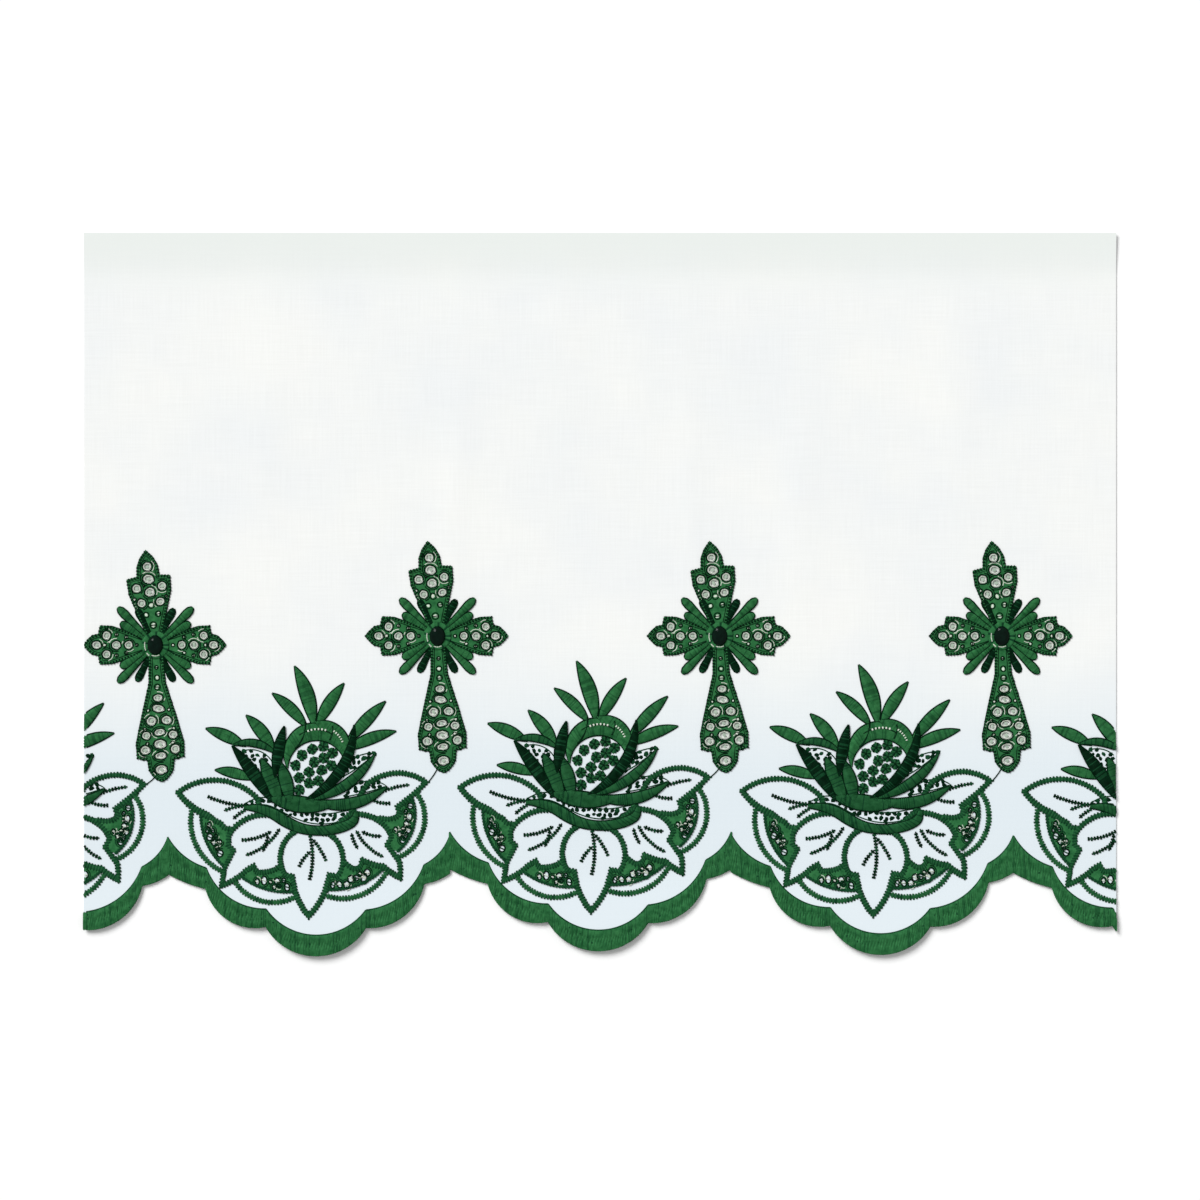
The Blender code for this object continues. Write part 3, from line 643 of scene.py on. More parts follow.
class Work:
    """One joined mesh on the sheet, in millimetres, each face with its tone."""

    def __init__(self):
        self.verts = []
        self.faces = []
        self.tones = []
        self.origin = ORIGIN

    def vert(self, point, level):
        """Place one vertex at a level over the linen's underside."""
        x, y = point[0] + self.origin.x, point[1] + self.origin.y
        self.verts.append((x * MM, y * MM, (level + lie(x, y)) * MM))
        return len(self.verts) - 1

    def face(self, corners, tone):
        """Add one face."""
        self.faces.append(corners)
        self.tones.append(TONES.index(tone))

    def on_sheet(self, start, end):
        """The part of a line that lies between the side cuts, or None."""
        near, far = 0.0, 1.0
        run = end.x - start.x
        place = start.x + self.origin.x
        for limit, sign in ((HALF_WIDTH, 1), (-HALF_WIDTH, -1)):
            room, pace = (limit - place) * sign, run * sign
            if abs(pace) < MERGE:
                if room < 0:
                    return None
            elif pace > 0:
                far = min(far, room / pace)
            else:
                near = max(near, room / pace)
        return (start.lerp(end, near), start.lerp(end, far)) if near < far else None

    def stitch(self, start, end, width, base, crown, tone, tuck=0.0):
        """One thread from start to end, as a closed strand that rises to its crown."""
        shown = self.on_sheet(start, end)
        if not shown or (shown[1] - shown[0]).length < width / 2:
            return
        start, end = shown
        ahead = (end - start).normalized()
        side = Vector((-ahead.y, ahead.x)) * width / 2
        first = self.vert(start, base - tuck)
        for share, rise in STITCH_SECTIONS:
            middle = start.lerp(end, share)
            level = base + crown * rise
            self.vert(middle + side, level - RELIEF)
            self.vert(middle, level + RELIEF)
            self.vert(middle - side, level - RELIEF)
        last = self.vert(end, base)
        for index in range(3):
            after = (index + 1) % 3
            self.face((first, first + 1 + after, first + 1 + index), tone)
            for ring in (first + 1, first + 4):
                self.face((ring + index, ring + after, ring + 3 + after, ring + 3 + index), tone)
            self.face((last, first + 7 + index, first + 7 + after), tone)

    def strand(self, line, width, base, crown, tone, closed=False):
        """One thread along a line, as a closed three-sided tube."""
        rings = []
        last = len(line) - 1
        for index, point in enumerate(line):
            if abs(point.x + self.origin.x) > HALF_WIDTH - width:
                if len(rings) > 1:
                    self.tube(rings, tone, False)
                rings = []
                continue
            if closed:
                ahead = line[(index + 1) % len(line)] - line[index - 1]
            else:
                ahead = line[min(index + 1, last)] - line[max(index - 1, 0)]
            side = Vector((-ahead.y, ahead.x)).normalized() * width / 2
            rings.append((self.vert(point + side, base), self.vert(point, base + crown),
                          self.vert(point - side, base)))
        if len(rings) > 1:
            self.tube(rings, tone, closed and len(rings) == len(line))

    def tube(self, rings, tone, closed):
        """Faces between rings, with both ends shut unless the rings close on themselves."""
        pairs = list(zip(rings, rings[1:]))
        if closed:
            pairs.append((rings[-1], rings[0]))
        for ring, following in pairs:
            for index in range(3):
                after = (index + 1) % 3
                self.face((ring[index], ring[after], following[after], following[index]), tone)
        if not closed:
            self.face(rings[0][::-1], tone)
            self.face(rings[-1], tone)

    def knot(self, middle, radius, base, crown, tone, rng):
        """A small uneven knot of thread."""
        if abs(middle.x + self.origin.x) > HALF_WIDTH - radius:
            return
        even = ellipse(middle, radius, radius * KNOT_OVAL, rng.uniform(0, math.pi), KNOT_SIDES)
        loop = [middle + (point - middle) * rng.uniform(*KNOT_UNEVEN) for point in even]
        ring = [self.vert(point, base) for point in loop]
        top = self.vert(middle, base + crown)
        for start, end in zip(ring, ring[1:] + ring[:1]):
            self.face((start, end, top), tone)
        self.face(ring[::-1], tone)

    def plate(self, layers, low, high, tone, spacing=0.0):
        """Closed plate between two levels, over the painted layers."""
        corners, kept = painted(layers, spacing)
        edges, top, under = {}, {}, {}
        for triangle in kept:
            for index in triangle:
                if index not in top:
                    top[index] = self.vert(corners[index], high)
                    under[index] = self.vert(corners[index], low)
            for pair in zip(triangle, triangle[1:] + triangle[:1]):
                edges[pair] = True
            self.face([top[index] for index in triangle], tone)
            self.face([under[index] for index in reversed(triangle)], tone)
        for start, end in edges:
            if (end, start) not in edges:
                self.face((top[start], under[start], under[end], top[end]), tone)

    def finish(self, name, materials, sharp):
        """Make the object, smooth but for edges sharper than the angle in degrees."""
        mesh = bpy.data.meshes.new(name)
        mesh.from_pydata(self.verts, [], self.faces)
        mesh.polygons.foreach_set("use_smooth", [True] * len(mesh.polygons))
        used = sorted(set(self.tones))
        for tone in used:
            mesh.materials.append(materials[TONES[tone]])
        mesh.polygons.foreach_set("material_index", [used.index(tone) for tone in self.tones])
        mesh.set_sharp_from_angle(angle=math.radians(sharp))
        mesh.update()
        made = add_object(name, mesh)
        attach(made, "root")
        return made


class Design:
    """Stitches of one motif about its own origin, at levels over the linen, laid wherever it repeats."""

    def __init__(self, rng):
        self.rng = rng
        self.laid = []

    def stitch(self, start, end, width, level, crown, tone, tuck=0.0):
        """One thread from start to end."""
        self.laid.append(("stitch", (start, end, width, SHEET_TOP + level, crown, tone, tuck)))

    def strand(self, points, width, level, crown, tone, closed=False):
        """One plain thread along a line."""
        self.laid.append(("strand", (points, width, SHEET_TOP + level, crown, tone, closed)))

    def knot(self, middle, radius, level, crown, tone):
        """One knot, uneven in a new way each time it is laid."""
        self.laid.append(("knot", (middle, radius, SHEET_TOP + level, crown, tone, self.rng)))

    def satin(self, left, right, pitch, level, crown, tone, jag=0.0, hiders=(), tuck=0.0):
        """Stitches from one rail to the other, their ends uneven by up to the jag."""
        count = max(2, round(max(line_length(left), line_length(right)) / pitch))
        for number, (start, end) in enumerate(zip(resampled(left, count), resampled(right, count))):
            middle = (start + end) / 2
            if (end - start).length < MERGE or any(inside(middle, loop) for loop in hiders):
                continue
            start, end = self.uneven(start, end, jag, number)
            dyed = STREAKS[tone] if tone in STREAKS and self.rng.random() < SHADED_SHARE else tone
            parts = max(1, round((end - start).length / LONG_STITCH))
            shift = (number * JOIN_STEP) % 1.0 - 0.5
            cuts = [0.0] + [(part + shift * JOIN_SPREAD) / parts for part in range(1, parts)] + [1.0]
            for near, far in zip(cuts, cuts[1:]):
                self.stitch(start.lerp(end, near), start.lerp(end, far), pitch * OVERLAP, level, crown,
                            dyed, tuck if near == 0.0 else 0.0)

    def uneven(self, start, end, jag, number):
        """A stitch's ends, with every second stitch reaching further out."""
        ahead = (end - start).normalized()
        shares = LONG_ENDS if number % 2 else SHORT_ENDS
        near, far = self.rng.uniform(*shares), self.rng.uniform(*shares)
        return start - ahead * jag * near, end + ahead * jag * far

    def line(self, points, width, level, crown, tone, jag=JAG, hiders=()):
        """Narrow satin along an open line."""
        left, right = both_sides(points, [width] * len(points))
        self.satin(left, right, PITCH, level, crown, tone, jag, hiders)

    def filled(self, left, right, level, crown, tone):
        """A shape between two rails, filled with stitches and edged with a dark strand: partly an
        outline, partly painted shade where the stitches end.
        """
        self.satin(left, right, FILL_PITCH, level, crown, tone, FILL_JAG)
        for rail in (left, right):
            self.strand(rail, EDGE_WIDTH, level + EDGE_RISE, EDGE_CROWN, "deep")

    def stitched_round(self, outline, inner, level, crown, tones, jag, hiders=()):
        """Stitches all round, from an outline to its inner edge, in two tones by turns."""
        for index, (start, end) in enumerate(round_stitches(outline, inner)):
            if any(inside((start + end) / 2, loop) for loop in hiders):
                continue
            near, far = self.uneven(start, end, jag, index)
            self.stitch(near, far, PITCH * OVERLAP, level, crown, tones[index % 2])

    def stretches(self, loop, threads, level, crown):
        """Threads that each follow a stretch of a loop, from rows of tone, points and width."""
        for tone, count, width in threads:
            first = self.rng.randrange(len(loop))
            points = [loop[(first + step) % len(loop)] for step in range(count)]
            self.strand(points, width, level, crown, tone)

    def lay(self, work, x, y):
        """Lay the motif with its origin at a place on the sheet."""
        work.origin = Vector((x, y))
        for kind, details in self.laid:
            getattr(work, kind)(*details)
        work.origin = ORIGIN


def repeat_centre(count):
    """Place along X of a repeat, counted from the middle one."""
    return MIDDLE_CENTRE + REPEAT * count


def hem_arcs(height_column, bulge_column, raised=0.0):
    """Scallop by scallop, the line of two columns of SCALLOPS across all repeats."""
    arcs = []
    for _name, count, drop in REPEATS:
        centre = repeat_centre(count)
        for row, following in zip(SCALLOPS, SCALLOPS[1:]):
            edge = fine_arc((row[0], row[height_column]), (following[0], following[height_column]),
                            -row[bulge_column])
            arcs.append(moved(edge, centre, HEM_Y - drop + raised))
    return arcs


def joined(arcs):
    """One line through arcs that meet end to end."""
    line = []
    for edge in arcs:
        line.extend(edge[:-1])
    return line + [arcs[-1][-1]]


def arm_points(middle, arm, rows):
    """Outline of one arm of a cross from rows of distance and half width."""
    ahead, side = ahead_and_side(math.radians(CROSS_ARMS[arm][0]))
    left = [middle + ahead * distance + side * half for distance, half in rows]
    right = [middle + ahead * distance - side * half for distance, half in rows if half > 0]
    return right + left[::-1]


def cut_rows(rows):
    """Rows of the opening in the linen under an arm, a rim's width inside the arm."""
    (near, near_half), (far, far_half) = rows[:2]
    start_half = near_half + (far_half - near_half) * (CUT_START - near) / (far - near)
    inner = [(CUT_START, start_half - ARM_RIM)]
    inner += [(distance, half - ARM_RIM) for distance, half in rows[1:-1]]
    return inner + [(rows[-1][0] - 2 * ARM_RIM, 0.0)]


def cross_middles():
    """Number and place of each cross on the sheet."""
    places = []
    for number, (_name, count, _drop) in enumerate(REPEATS[1:], start=1):
        drop = FIRST_CROSS_DROP if number == 1 else 0.0
        places.append((number, Vector((repeat_centre(count) + CROSS_X, HEM_Y + CROSS_HEIGHT - drop))))
    return places


def set_inputs(tree, made, inputs):
    """Set a node's inputs by name; a socket among the values is linked."""
    for name, value in inputs.items():
        if isinstance(value, bpy.types.NodeSocket):
            tree.links.new(value, made.inputs[name])
        else:
            made.inputs[name].default_value = value


def node(tree, kind, settings=(), **inputs):
    """One shader node from its kind, pairs of settings, and inputs with _ for each space."""
    made = tree.nodes.new("ShaderNode" + kind)
    for name, value in settings:
        setattr(made, name, value)
    set_inputs(tree, made, {name.replace("_", " "): value for name, value in inputs.items()})
    return made


def combined(tree, operation, first, second):
    """Sum or product of two sockets."""
    made = node(tree, "Math", [("operation", operation)])
    tree.links.new(first, made.inputs[0])
    tree.links.new(second, made.inputs[1])
    return made.outputs[0]


def ramp(tree, factor, low, high, places=(0.0, 1.0)):
    """Colour that runs from low to high as the factor rises from one place to the other."""
    made = node(tree, "ValToRGB", Fac=factor)
    for element, place, colour in zip(made.color_ramp.elements, places, (low, high)):
        element.position = place
        element.color = (*colour, 1.0)
    return made.outputs["Color"]


def shader(name):
    """A new material with its tree, its place socket and its surface shader."""
    made = bpy.data.materials.new(name)
    made.use_nodes = True
    tree = made.node_tree
    return made, tree, node(tree, "TexCoord").outputs["Object"], tree.nodes["Principled BSDF"]


def thread_material(name, dark, light, roughness):
    """Embroidery thread: uneven dye, fine twist and a soft sheen."""
    made, tree, place, surface = shader(name)
    blotch = node(tree, "TexNoise", Vector=place, Scale=420.0, Detail=3.0, Roughness=0.6)
    twist = node(tree, "TexNoise", Vector=place, Scale=3200.0, Detail=2.0)
    bump = node(tree, "Bump", Height=twist.outputs["Fac"], Strength=0.35, Distance=0.0001)
    set_inputs(tree, surface, {
        "Base Color": ramp(tree, blotch.outputs["Fac"], dark, light, (0.3, 0.72)),
        "Normal": bump.outputs["Normal"],
        "Roughness": roughness,
        "Specular IOR Level": 0.03,
    })
    return made


def linen_material():
    """White linen: plain weave, slubs along both threads, a painted shade along the top edge and a
    darker, cooler hem.
    """
    made, tree, place, surface = shader("linen")
    waves, slubs = [], []
    for axis, stretch in (("X", (1500.0, 45.0, 1.0)), ("Y", (45.0, 1500.0, 1.0))):
        wave = node(tree, "TexWave", [("bands_direction", axis)], Vector=place, Scale=520.0,
                    Distortion=1.2, Detail=1.0, Detail_Scale=300.0)
        along = node(tree, "Mapping", Vector=place, Scale=stretch).outputs["Vector"]
        slub = node(tree, "TexNoise", Vector=along, Scale=1.0, Detail=2.0, Roughness=0.5)
        waves.append(wave.outputs["Fac"])
        slubs.append(slub.outputs["Fac"])
    thick = combined(tree, "ADD", *slubs)
    height = combined(tree, "ADD", combined(tree, "MULTIPLY", *waves), thick)
    bump = node(tree, "Bump", Height=height, Strength=0.12, Distance=0.0002)
    cloudy = node(tree, "TexNoise", Vector=place, Scale=14.0, Detail=3.0, Roughness=0.55)
    tint = ramp(tree, cloudy.outputs["Fac"], (0.868, 0.890, 0.893), (0.916, 0.926, 0.905), (0.35, 0.65))
    yarn = node(tree, "MapRange", Value=thick, From_Min=0.7, From_Max=1.35, To_Min=0.965, To_Max=1.01)
    mix = [("data_type", "RGBA")]
    shaded = node(tree, "Mix", mix + [("blend_type", "MULTIPLY")], Factor=1.0, A=tint,
                  B=yarn.outputs["Result"])
    colour = shaded.outputs["Result"]
    y = node(tree, "SeparateXYZ", Vector=place).outputs["Y"]
    # Painted shade along the top edge, then the hem's darker, cooler tone
    for start, full, turned_to in LINEN_TINTS:
        share = node(tree, "MapRange", [("interpolation_type", "SMOOTHSTEP")], Value=y,
                     From_Min=start * MM, From_Max=full * MM)
        tinted = node(tree, "Mix", mix, Factor=share.outputs["Result"], A=colour, B=(*turned_to, 1.0))
        colour = tinted.outputs["Result"]
    set_inputs(tree, surface, {
        "Base Color": colour,
        "Normal": bump.outputs["Normal"],
        "Roughness": 0.85,
        "Specular IOR Level": 0.15,
        "Sheen Weight": 0.1,
    })
    return made


def clouded_material(name, scale, dark, light, roughness, specular):
    """Smooth surface with faint clouds of colour."""
    made, tree, place, surface = shader(name)
    clouds = node(tree, "TexNoise", Vector=place, Scale=scale, Detail=2.0)
    set_inputs(tree, surface, {
        "Base Color": ramp(tree, clouds.outputs["Fac"], dark, light),
        "Roughness": roughness,
        "Specular IOR Level": specular,
    })
    return made


LINEN = linen_material()
GEM = clouded_material("dark_stone", 500.0, (0.0004, 0.002, 0.0014), (0.002, 0.014, 0.008), 0.08, 0.1)
TABLE = clouded_material("table", 40.0, (0.985, 0.985, 0.985), (1.0, 1.0, 1.0), 0.9, 0.0)
THREADS = {
    # tone: material from its name, dark and light colour and roughness
    "mid": thread_material("thread_green", (0.014, 0.100, 0.031), (0.039, 0.188, 0.064), 0.6),
    "shade": thread_material("thread_shaded_green", (0.009, 0.070, 0.022), (0.022, 0.120, 0.042), 0.6),
    "outline": thread_material("thread_dark_green", (0.003, 0.034, 0.012), (0.009, 0.068, 0.026), 0.65),
    "deep": thread_material("thread_deep_green", (0.0005, 0.009, 0.003), (0.002, 0.025, 0.009), 0.65),
    # Pale thread; it also paints the highlights by the stones and the light at the open cells' rims
    "light": thread_material("thread_pale", (0.54, 0.60, 0.50), (0.74, 0.80, 0.71), 0.7),
    # Grey thread for the knot that paints the shade in the middle of each open cell
    "cell_light_and_shade": thread_material("thread_painted_cell_shade", (0.32, 0.42, 0.33), (0.46, 0.56, 0.46), 0.7),
}


def make_sheet():
    """The linen sheet, with openings under the crosses."""
    outline = joined(hem_arcs(*OUTER_LINE, LIP_WIDTH / 2))
    outline += fine_arc((outline[-1].x, SHEET_DEPTH / 2), (outline[0].x, SHEET_DEPTH / 2), 0.0)
    layers = [(outline, True)]
    for _number, middle in cross_middles():
        for arm, (_heading, rows) in CROSS_ARMS.items():
            layers.append((arm_points(middle, arm, cut_rows(rows)), False))
    work = Work()
    work.plate(layers, 0.0, SHEET_TOP, "mid", SHEET_SPACING)
    sheet = work.finish("linen_sheet", {"mid": LINEN}, SOFT_ANGLE)
    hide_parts("cloth")
    return sheet


def make_edging():
    """The worked band along the scallops, closed round the linen's edge."""
    work = Work()
    outer = joined(hem_arcs(*OUTER_LINE, HEM_PLATE_INSET))
    inner = joined(hem_arcs(*INNER_LINE, -HEM_PLATE_INSET))
    work.plate([(outer + inner[::-1], True)], -BACK, SHEET_TOP + HEM_PLATE_THICK, "mid", SHEET_SPACING)
    scallops = list(zip(hem_arcs(*OUTER_LINE), hem_arcs(*INNER_LINE)))
    design = Design(random.Random(RANDOM_SEED))
    thread_inset = 0.3
    for outer_arc, inner_arc in scallops:
        design.satin(outer_arc, inner_arc, HEM_PITCH, 0.0, HEM_CROWN, "mid", HEM_JAG, tuck=SHEET_TOP)
        design.strand(inner_arc, *HEM_INNER_EDGE)
        design.strand(moved(outer_arc, 0.0, thread_inset), *HEM_OUTER_EDGE)
    design.lay(work, 0.0, 0.0)
    lay_specks(work, scallops)
    band = work.finish("edging_stitches", THREADS, SOFT_ANGLE)
    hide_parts("border")
    return band


def lay_specks(work, scallops):
    """A few dark specks on the band, by the length of each scallop."""
    rng = random.Random(RANDOM_SEED + 1)
    points_per_speck = 9
    places = 20
    radius, level, crown, tone = HEM_SPECK
    for outer_arc, inner_arc in scallops:
        for _speck in range(max(1, len(outer_arc) // points_per_speck)):
            place = int(rng.random() * places)
            near, far = resampled(outer_arc, places)[place], resampled(inner_arc, places)[place]
            middle = near.lerp(far, rng.uniform(0.15, 0.85))
            work.knot(middle, radius, SHEET_TOP + level, crown, tone, rng)


def swelling(rows):
    """Both edges of a curved line from rows of x, height and width."""
    left, right = both_sides([Vector(row[:2]) for row in rows], [row[2] for row in rows])
    return smooth(left), smooth(right)


def smooth(line, rounds=3):
    """An open line with its corners cut, its ends kept."""
    for _round in range(rounds):
        cut = [line[0]]
        for a, b in zip(line, line[1:]):
            cut += [a.lerp(b, 0.25), a.lerp(b, 0.75)]
        line = cut + [line[-1]]
    return line


def leaf_edges(rows):
    """Outline and inner edge of an open leaf's worked line, with as many corners each."""
    outline, widths = [], []
    for row, following in zip(rows, rows[1:] + rows[:1]):
        x, height, bulge, width = row
        steps = max(1, round(math.dist((x, height), following[:2]) / LEAF_STEP)) if bulge else 1
        outline.extend(arc((x, height), following[:2], -bulge, steps))
        for step in range(steps):
            widths.append(width + (following[3] - width) * step / steps)
    return outline, inset(outline, widths)


def round_stitches(outline, inner):
    """Pairs of points for stitches that run from a closed outline to its inner edge."""
    pairs = []
    for index, (start, inner_start) in enumerate(zip(outline, inner)):
        end, inner_end = outline[(index + 1) % len(outline)], inner[(index + 1) % len(inner)]
        count = max(1, round(max((end - start).length, (inner_end - inner_start).length) / PITCH))
        pairs.extend((start.lerp(end, step / count), inner_start.lerp(inner_end, step / count))
                     for step in range(count))
    return pairs


def crescent_loop(row):
    """Outline of one crescent of mesh between the leaves."""
    *ends, outer, inner = row
    return lens((*ends, CRESCENT_INSET - outer, -inner))


def crescent_cells(rng, leaves):
    """Small cells of the mesh between the leaves: middle, half across, half along and heading."""
    cells = []
    drift, rim, row_step = 0.6, 0.9, CELL_SPACING * 0.86
    for loop in [crescent_loop(row) for row in CRESCENTS]:
        low_x, high_x, low_y, high_y = extent(loop)
        y, odd = low_y, False
        while y < high_y:
            x = low_x + (CELL_SPACING / 2 if odd else 0.0)
            while x < high_x:
                middle = Vector((x + rng.uniform(-drift, drift), y + rng.uniform(-drift, drift)))
                radius = rng.choice(CELL_RADII) * rng.uniform(0.9, 1.1)
                around = ellipse(middle, radius + rim, radius + rim, 0.0, 8)
                clear = all(inside(point, loop) for point in around)
                if clear and not any(inside(point, leaf) for leaf in leaves for point in around):
                    along = radius * rng.uniform(1.0, 1.7)
                    cells.append((middle, radius, along, rng.uniform(-0.4, 0.4) + math.pi / 2))
                x += CELL_SPACING
            y += row_step
            odd = not odd
    return cells


def lay_mesh(design, leaves):
    """The crescents of mesh behind the open leaves; gives the layers of their plate."""
    rng = design.rng
    cells = crescent_cells(rng, leaves)
    ring_gap, outer_gap = 0.2, 1.15
    for middle, across, along, turn in cells:
        ring = ellipse(middle, across + ring_gap, along + ring_gap, turn, 10)
        design.strand(ring, *MESH_RING, closed=True)
        outside = ellipse(middle, across + outer_gap, along + outer_gap, turn, 12)
        design.stretches(outside, MESH_THREADS, *MESH_STRETCH)
        design.stitch(ring[2], ring[7], *MESH_BAR, "outline" if rng.random() < 0.5 else "light")
    for x, height, x_end, height_end, outer, _inner in CRESCENTS:
        rim = fine_arc((x, height), (x_end, height_end), CRESCENT_INSET * 1.6 - outer)
        design.line(rim, *MESH_RIM, JAG / 2, leaves)
    layers = [(crescent_loop(row), True) for row in CRESCENTS] + [(leaf, False) for leaf in leaves]
    return layers + [(ellipse(*cell, 8), False) for cell in cells]


def lay_open_leaves(design, edges, leaves):
    """The bands behind the open leaves, then the leaves' edges and their veins."""
    for row in BANDS:
        design.line(row_arc(row, -1), row[5], *BAND_WORK, hiders=leaves)
    for number, (outline, inner) in enumerate(edges):
        design.stitched_round(outline, inner, *LEAF_EDGE, JAG, leaves[number + 1:])
    for row in VEINS:
        design.line(row_arc(row), *VEIN)


def lay_stippling(design):
    """Places worked with knots on the bare linen, each with a thread round it."""
    rng = design.rng
    drift, row_step = 0.5, KNOT_SPACING * 0.8
    left, right = swelling(STIPPLED_BAND)
    for loop in [lens(row) for row in STIPPLED] + [left + right[::-1]]:
        design.strand(loop, *STIPPLE_EDGE, closed=True)
        low_x, high_x, low_y, high_y = extent(loop)
        y = low_y
        while y < high_y:
            x = low_x + rng.uniform(0, KNOT_SPACING)
            while x < high_x:
                middle = Vector((x + rng.uniform(-drift, drift), y + rng.uniform(-drift, drift)))
                if inside(middle, loop):
                    tone = "deep" if rng.random() < 0.85 else "outline"
                    design.knot(middle, rng.uniform(1.3, 1.7), 0.0, 0.5, tone)
                x += KNOT_SPACING
            y += row_step


def lay_seeds(design):
    """Seeds under the hood, each a ring of short stitches round a knot."""
    rng = design.rng
    for middle in [Vector(place) for place in SEEDS]:
        for spoke in range(SEED_SPOKES):
            ahead, _side = ahead_and_side(math.tau * (spoke + rng.uniform(-0.2, 0.2)) / SEED_SPOKES)
            reach = SEED_RADIUS + rng.uniform(-0.25, 0.4)
            start, end = middle + ahead * 0.5, middle + ahead * reach
            design.stitch(start, end, *SEED_STITCH, SEED_TONES[spoke % len(SEED_TONES)])
        design.knot(middle, *SEED_KNOT)


def lay_blossom(design):
    """Solid leaves, hood, rim, petals and blades, from the lowest up."""
    for row in SOLID_LEAVES:
        design.filled(*rails(row), *LEAF_WORK)
    for row in HOOD:
        design.filled(*rails(row), *HOOD_WORK)
    for row in HOOD_LINES:
        design.strand(row_arc(row), *HOOD_LINE)
    for row in HOOD_MARKS:
        marks = resampled(row_arc(row), 12)
        for start, end in zip(marks[0:12:2], marks[1::2]):
            design.stitch(start, end, *HOOD_MARK)
    design.filled(*swelling(RIM), *RIM_WORK)
    for row in PETALS[:1] + (BOWL,) + PETALS[1:]:
        design.filled(*rails(row), *PETAL_WORK)
    for row in BLADES:
        design.filled(*rails(row), *BLADE_WORK)


def flower_design():
    """Stitches of one flower, the layers of its mesh plates and the rings of its open leaves."""
    design = Design(random.Random(RANDOM_SEED + 2))
    edges = [leaf_edges(rows) for rows in OPEN_LEAVES.values()]
    leaves = [outline for outline, _inner in edges]
    layers = lay_mesh(design, leaves)
    lay_open_leaves(design, edges, leaves)
    lay_stippling(design)
    lay_seeds(design)
    lay_blossom(design)
    rings = [layer for outline, inner in edges for layer in ((outline, True), (inner, False))]
    return design, layers, rings


def flower_reverse():
    """Layers of the flower's solid shapes and lines, as they show below the linen."""
    loops = [lens(row) for row in SOLID_LEAVES + HOOD + (BOWL,) + PETALS + BLADES]
    left, right = swelling(RIM)
    loops.append(left + right[::-1])
    loops += [ellipse(Vector(place), SEED_RADIUS, SEED_RADIUS, 0.0, 10) for place in SEEDS]
    lines = [(*row, VEIN[0]) for row in VEINS]
    lines += [(*ends, -bulge, width) for *ends, bulge, width in BANDS]
    loops += [lens((*ends, width / 2 + bulge, width / 2 - bulge)) for *ends, bulge, width in lines]
    return [(loop, True) for loop in loops]


def lay_plates(work, plates, x, y, spacing=0.0):
    """Plates of a motif at a place on the sheet, from rows of layers, levels and tone."""
    for layers, low, high, tone in plates:
        work.plate([(moved(loop, x, y), worked) for loop, worked in layers], low, high, tone, spacing)


def make_flowers():
    """Every repeat's flower, whole or cut by the side edge."""
    design, layers, rings = flower_design()
    plates = (
        (layers, SHEET_TOP, SHEET_TOP + PLATE_THICK, "mid"),
        (rings, SHEET_TOP, SHEET_TOP + PLATE_THICK, "outline"),
        (layers + rings + flower_reverse(), -BACK, BACK, "shade"),
    )
    for name, count, drop in REPEATS:
        x, y = repeat_centre(count), HEM_Y - drop
        work = Work()
        lay_plates(work, plates, x, y, SHEET_SPACING)
        design.lay(work, x, y)
        flower = work.finish(f"flower_{name}_stitches", THREADS, SOFT_ANGLE)
        solid = f"flower_{name}"
        nodes = [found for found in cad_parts
                 if found == solid or found.startswith(f"{solid}_leaf")]
        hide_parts(*nodes)


def on_arm(arm, distance, offset):
    """Heading and side of an arm, and the places on it at a distance, one to each side."""
    heading = math.radians(CROSS_ARMS[arm][0])
    ahead, side = ahead_and_side(heading)
    signs = (1, -1) if offset else (0,)
    return heading, side, [ahead * distance + side * offset * sign for sign in signs]


def lay_arms(design):
    """The edges of a cross's arms, each with a dark line inside it; gives their outlines."""
    outlines = [turned(arm_points(ORIGIN, arm, rows)) for arm, (_heading, rows) in CROSS_ARMS.items()]
    edge_width, line_inset = 0.6, 1.6
    for outline in outlines:
        inner, line = (inset(outline, [width] * len(outline)) for width in (edge_width, line_inset))
        design.stitched_round(outline, inner, *ARM_STITCHES, JAG * 0.75)
        design.strand(outline, *ARM_EDGE, closed=True)
        design.strand(line, *ARM_LINE, closed=True)
    return outlines


def lay_cells(design):
    """Threads round the open cells of a cross, and in each a pale ring and a grey knot that paint light
    at its rim and shade in its middle; gives the cells' loops.
    """
    rng = design.rng
    loops = []
    ring_gap, outer_gap, lit_ring_share = 0.15, 1.05, 0.72
    for arm, distance, offset, across, along in CROSS_CELLS:
        heading, _side, places = on_arm(arm, distance, offset)
        for place in places:
            wide, long = across * rng.uniform(1.02, 1.1), along * rng.uniform(1.0, 1.1)
            turn = heading + rng.uniform(-0.3, 0.3)
            loops.append(ellipse(place, wide, long, turn, 12))
            ring = [place + (point - place) * rng.uniform(0.93, 1.08)
                    for point in ellipse(place, wide + ring_gap, long + ring_gap, turn, 14)]
            design.strand(ring, *CELL_RING, closed=True)
            outside = ellipse(place, wide + outer_gap, long + outer_gap, turn, 14)
            design.stretches(outside, CELL_THREADS, *CELL_STRETCH)
            # Painted light and shade in the opening: a pale ring near its rim, a grey knot in its middle
            cell_light_and_shade = ellipse(place, wide * lit_ring_share, long * lit_ring_share, turn, 10)
            design.strand(cell_light_and_shade, *CELL_PAINTED_LIGHT, closed=True)
            design.knot(place, min(wide, long) * 0.5, 0.1, 0.2, "cell_light_and_shade")
    return loops


def lay_dots(design):
    """Small cells between the open ones, about half of them with a dark slit."""
    for arm, distance, offset, radius in CROSS_DOTS:
        heading, side, places = on_arm(arm, distance, offset)
        for place in places:
            design.strand(ellipse(place, radius, radius, heading, 10), *CELL_RING, closed=True)
            design.knot(place, radius * 0.85, 0.35, 0.25, "light")
            if design.rng.random() < 0.5:
                half = side * radius * 0.8
                design.stitch(place - half, place + half, *DOT_SLIT)


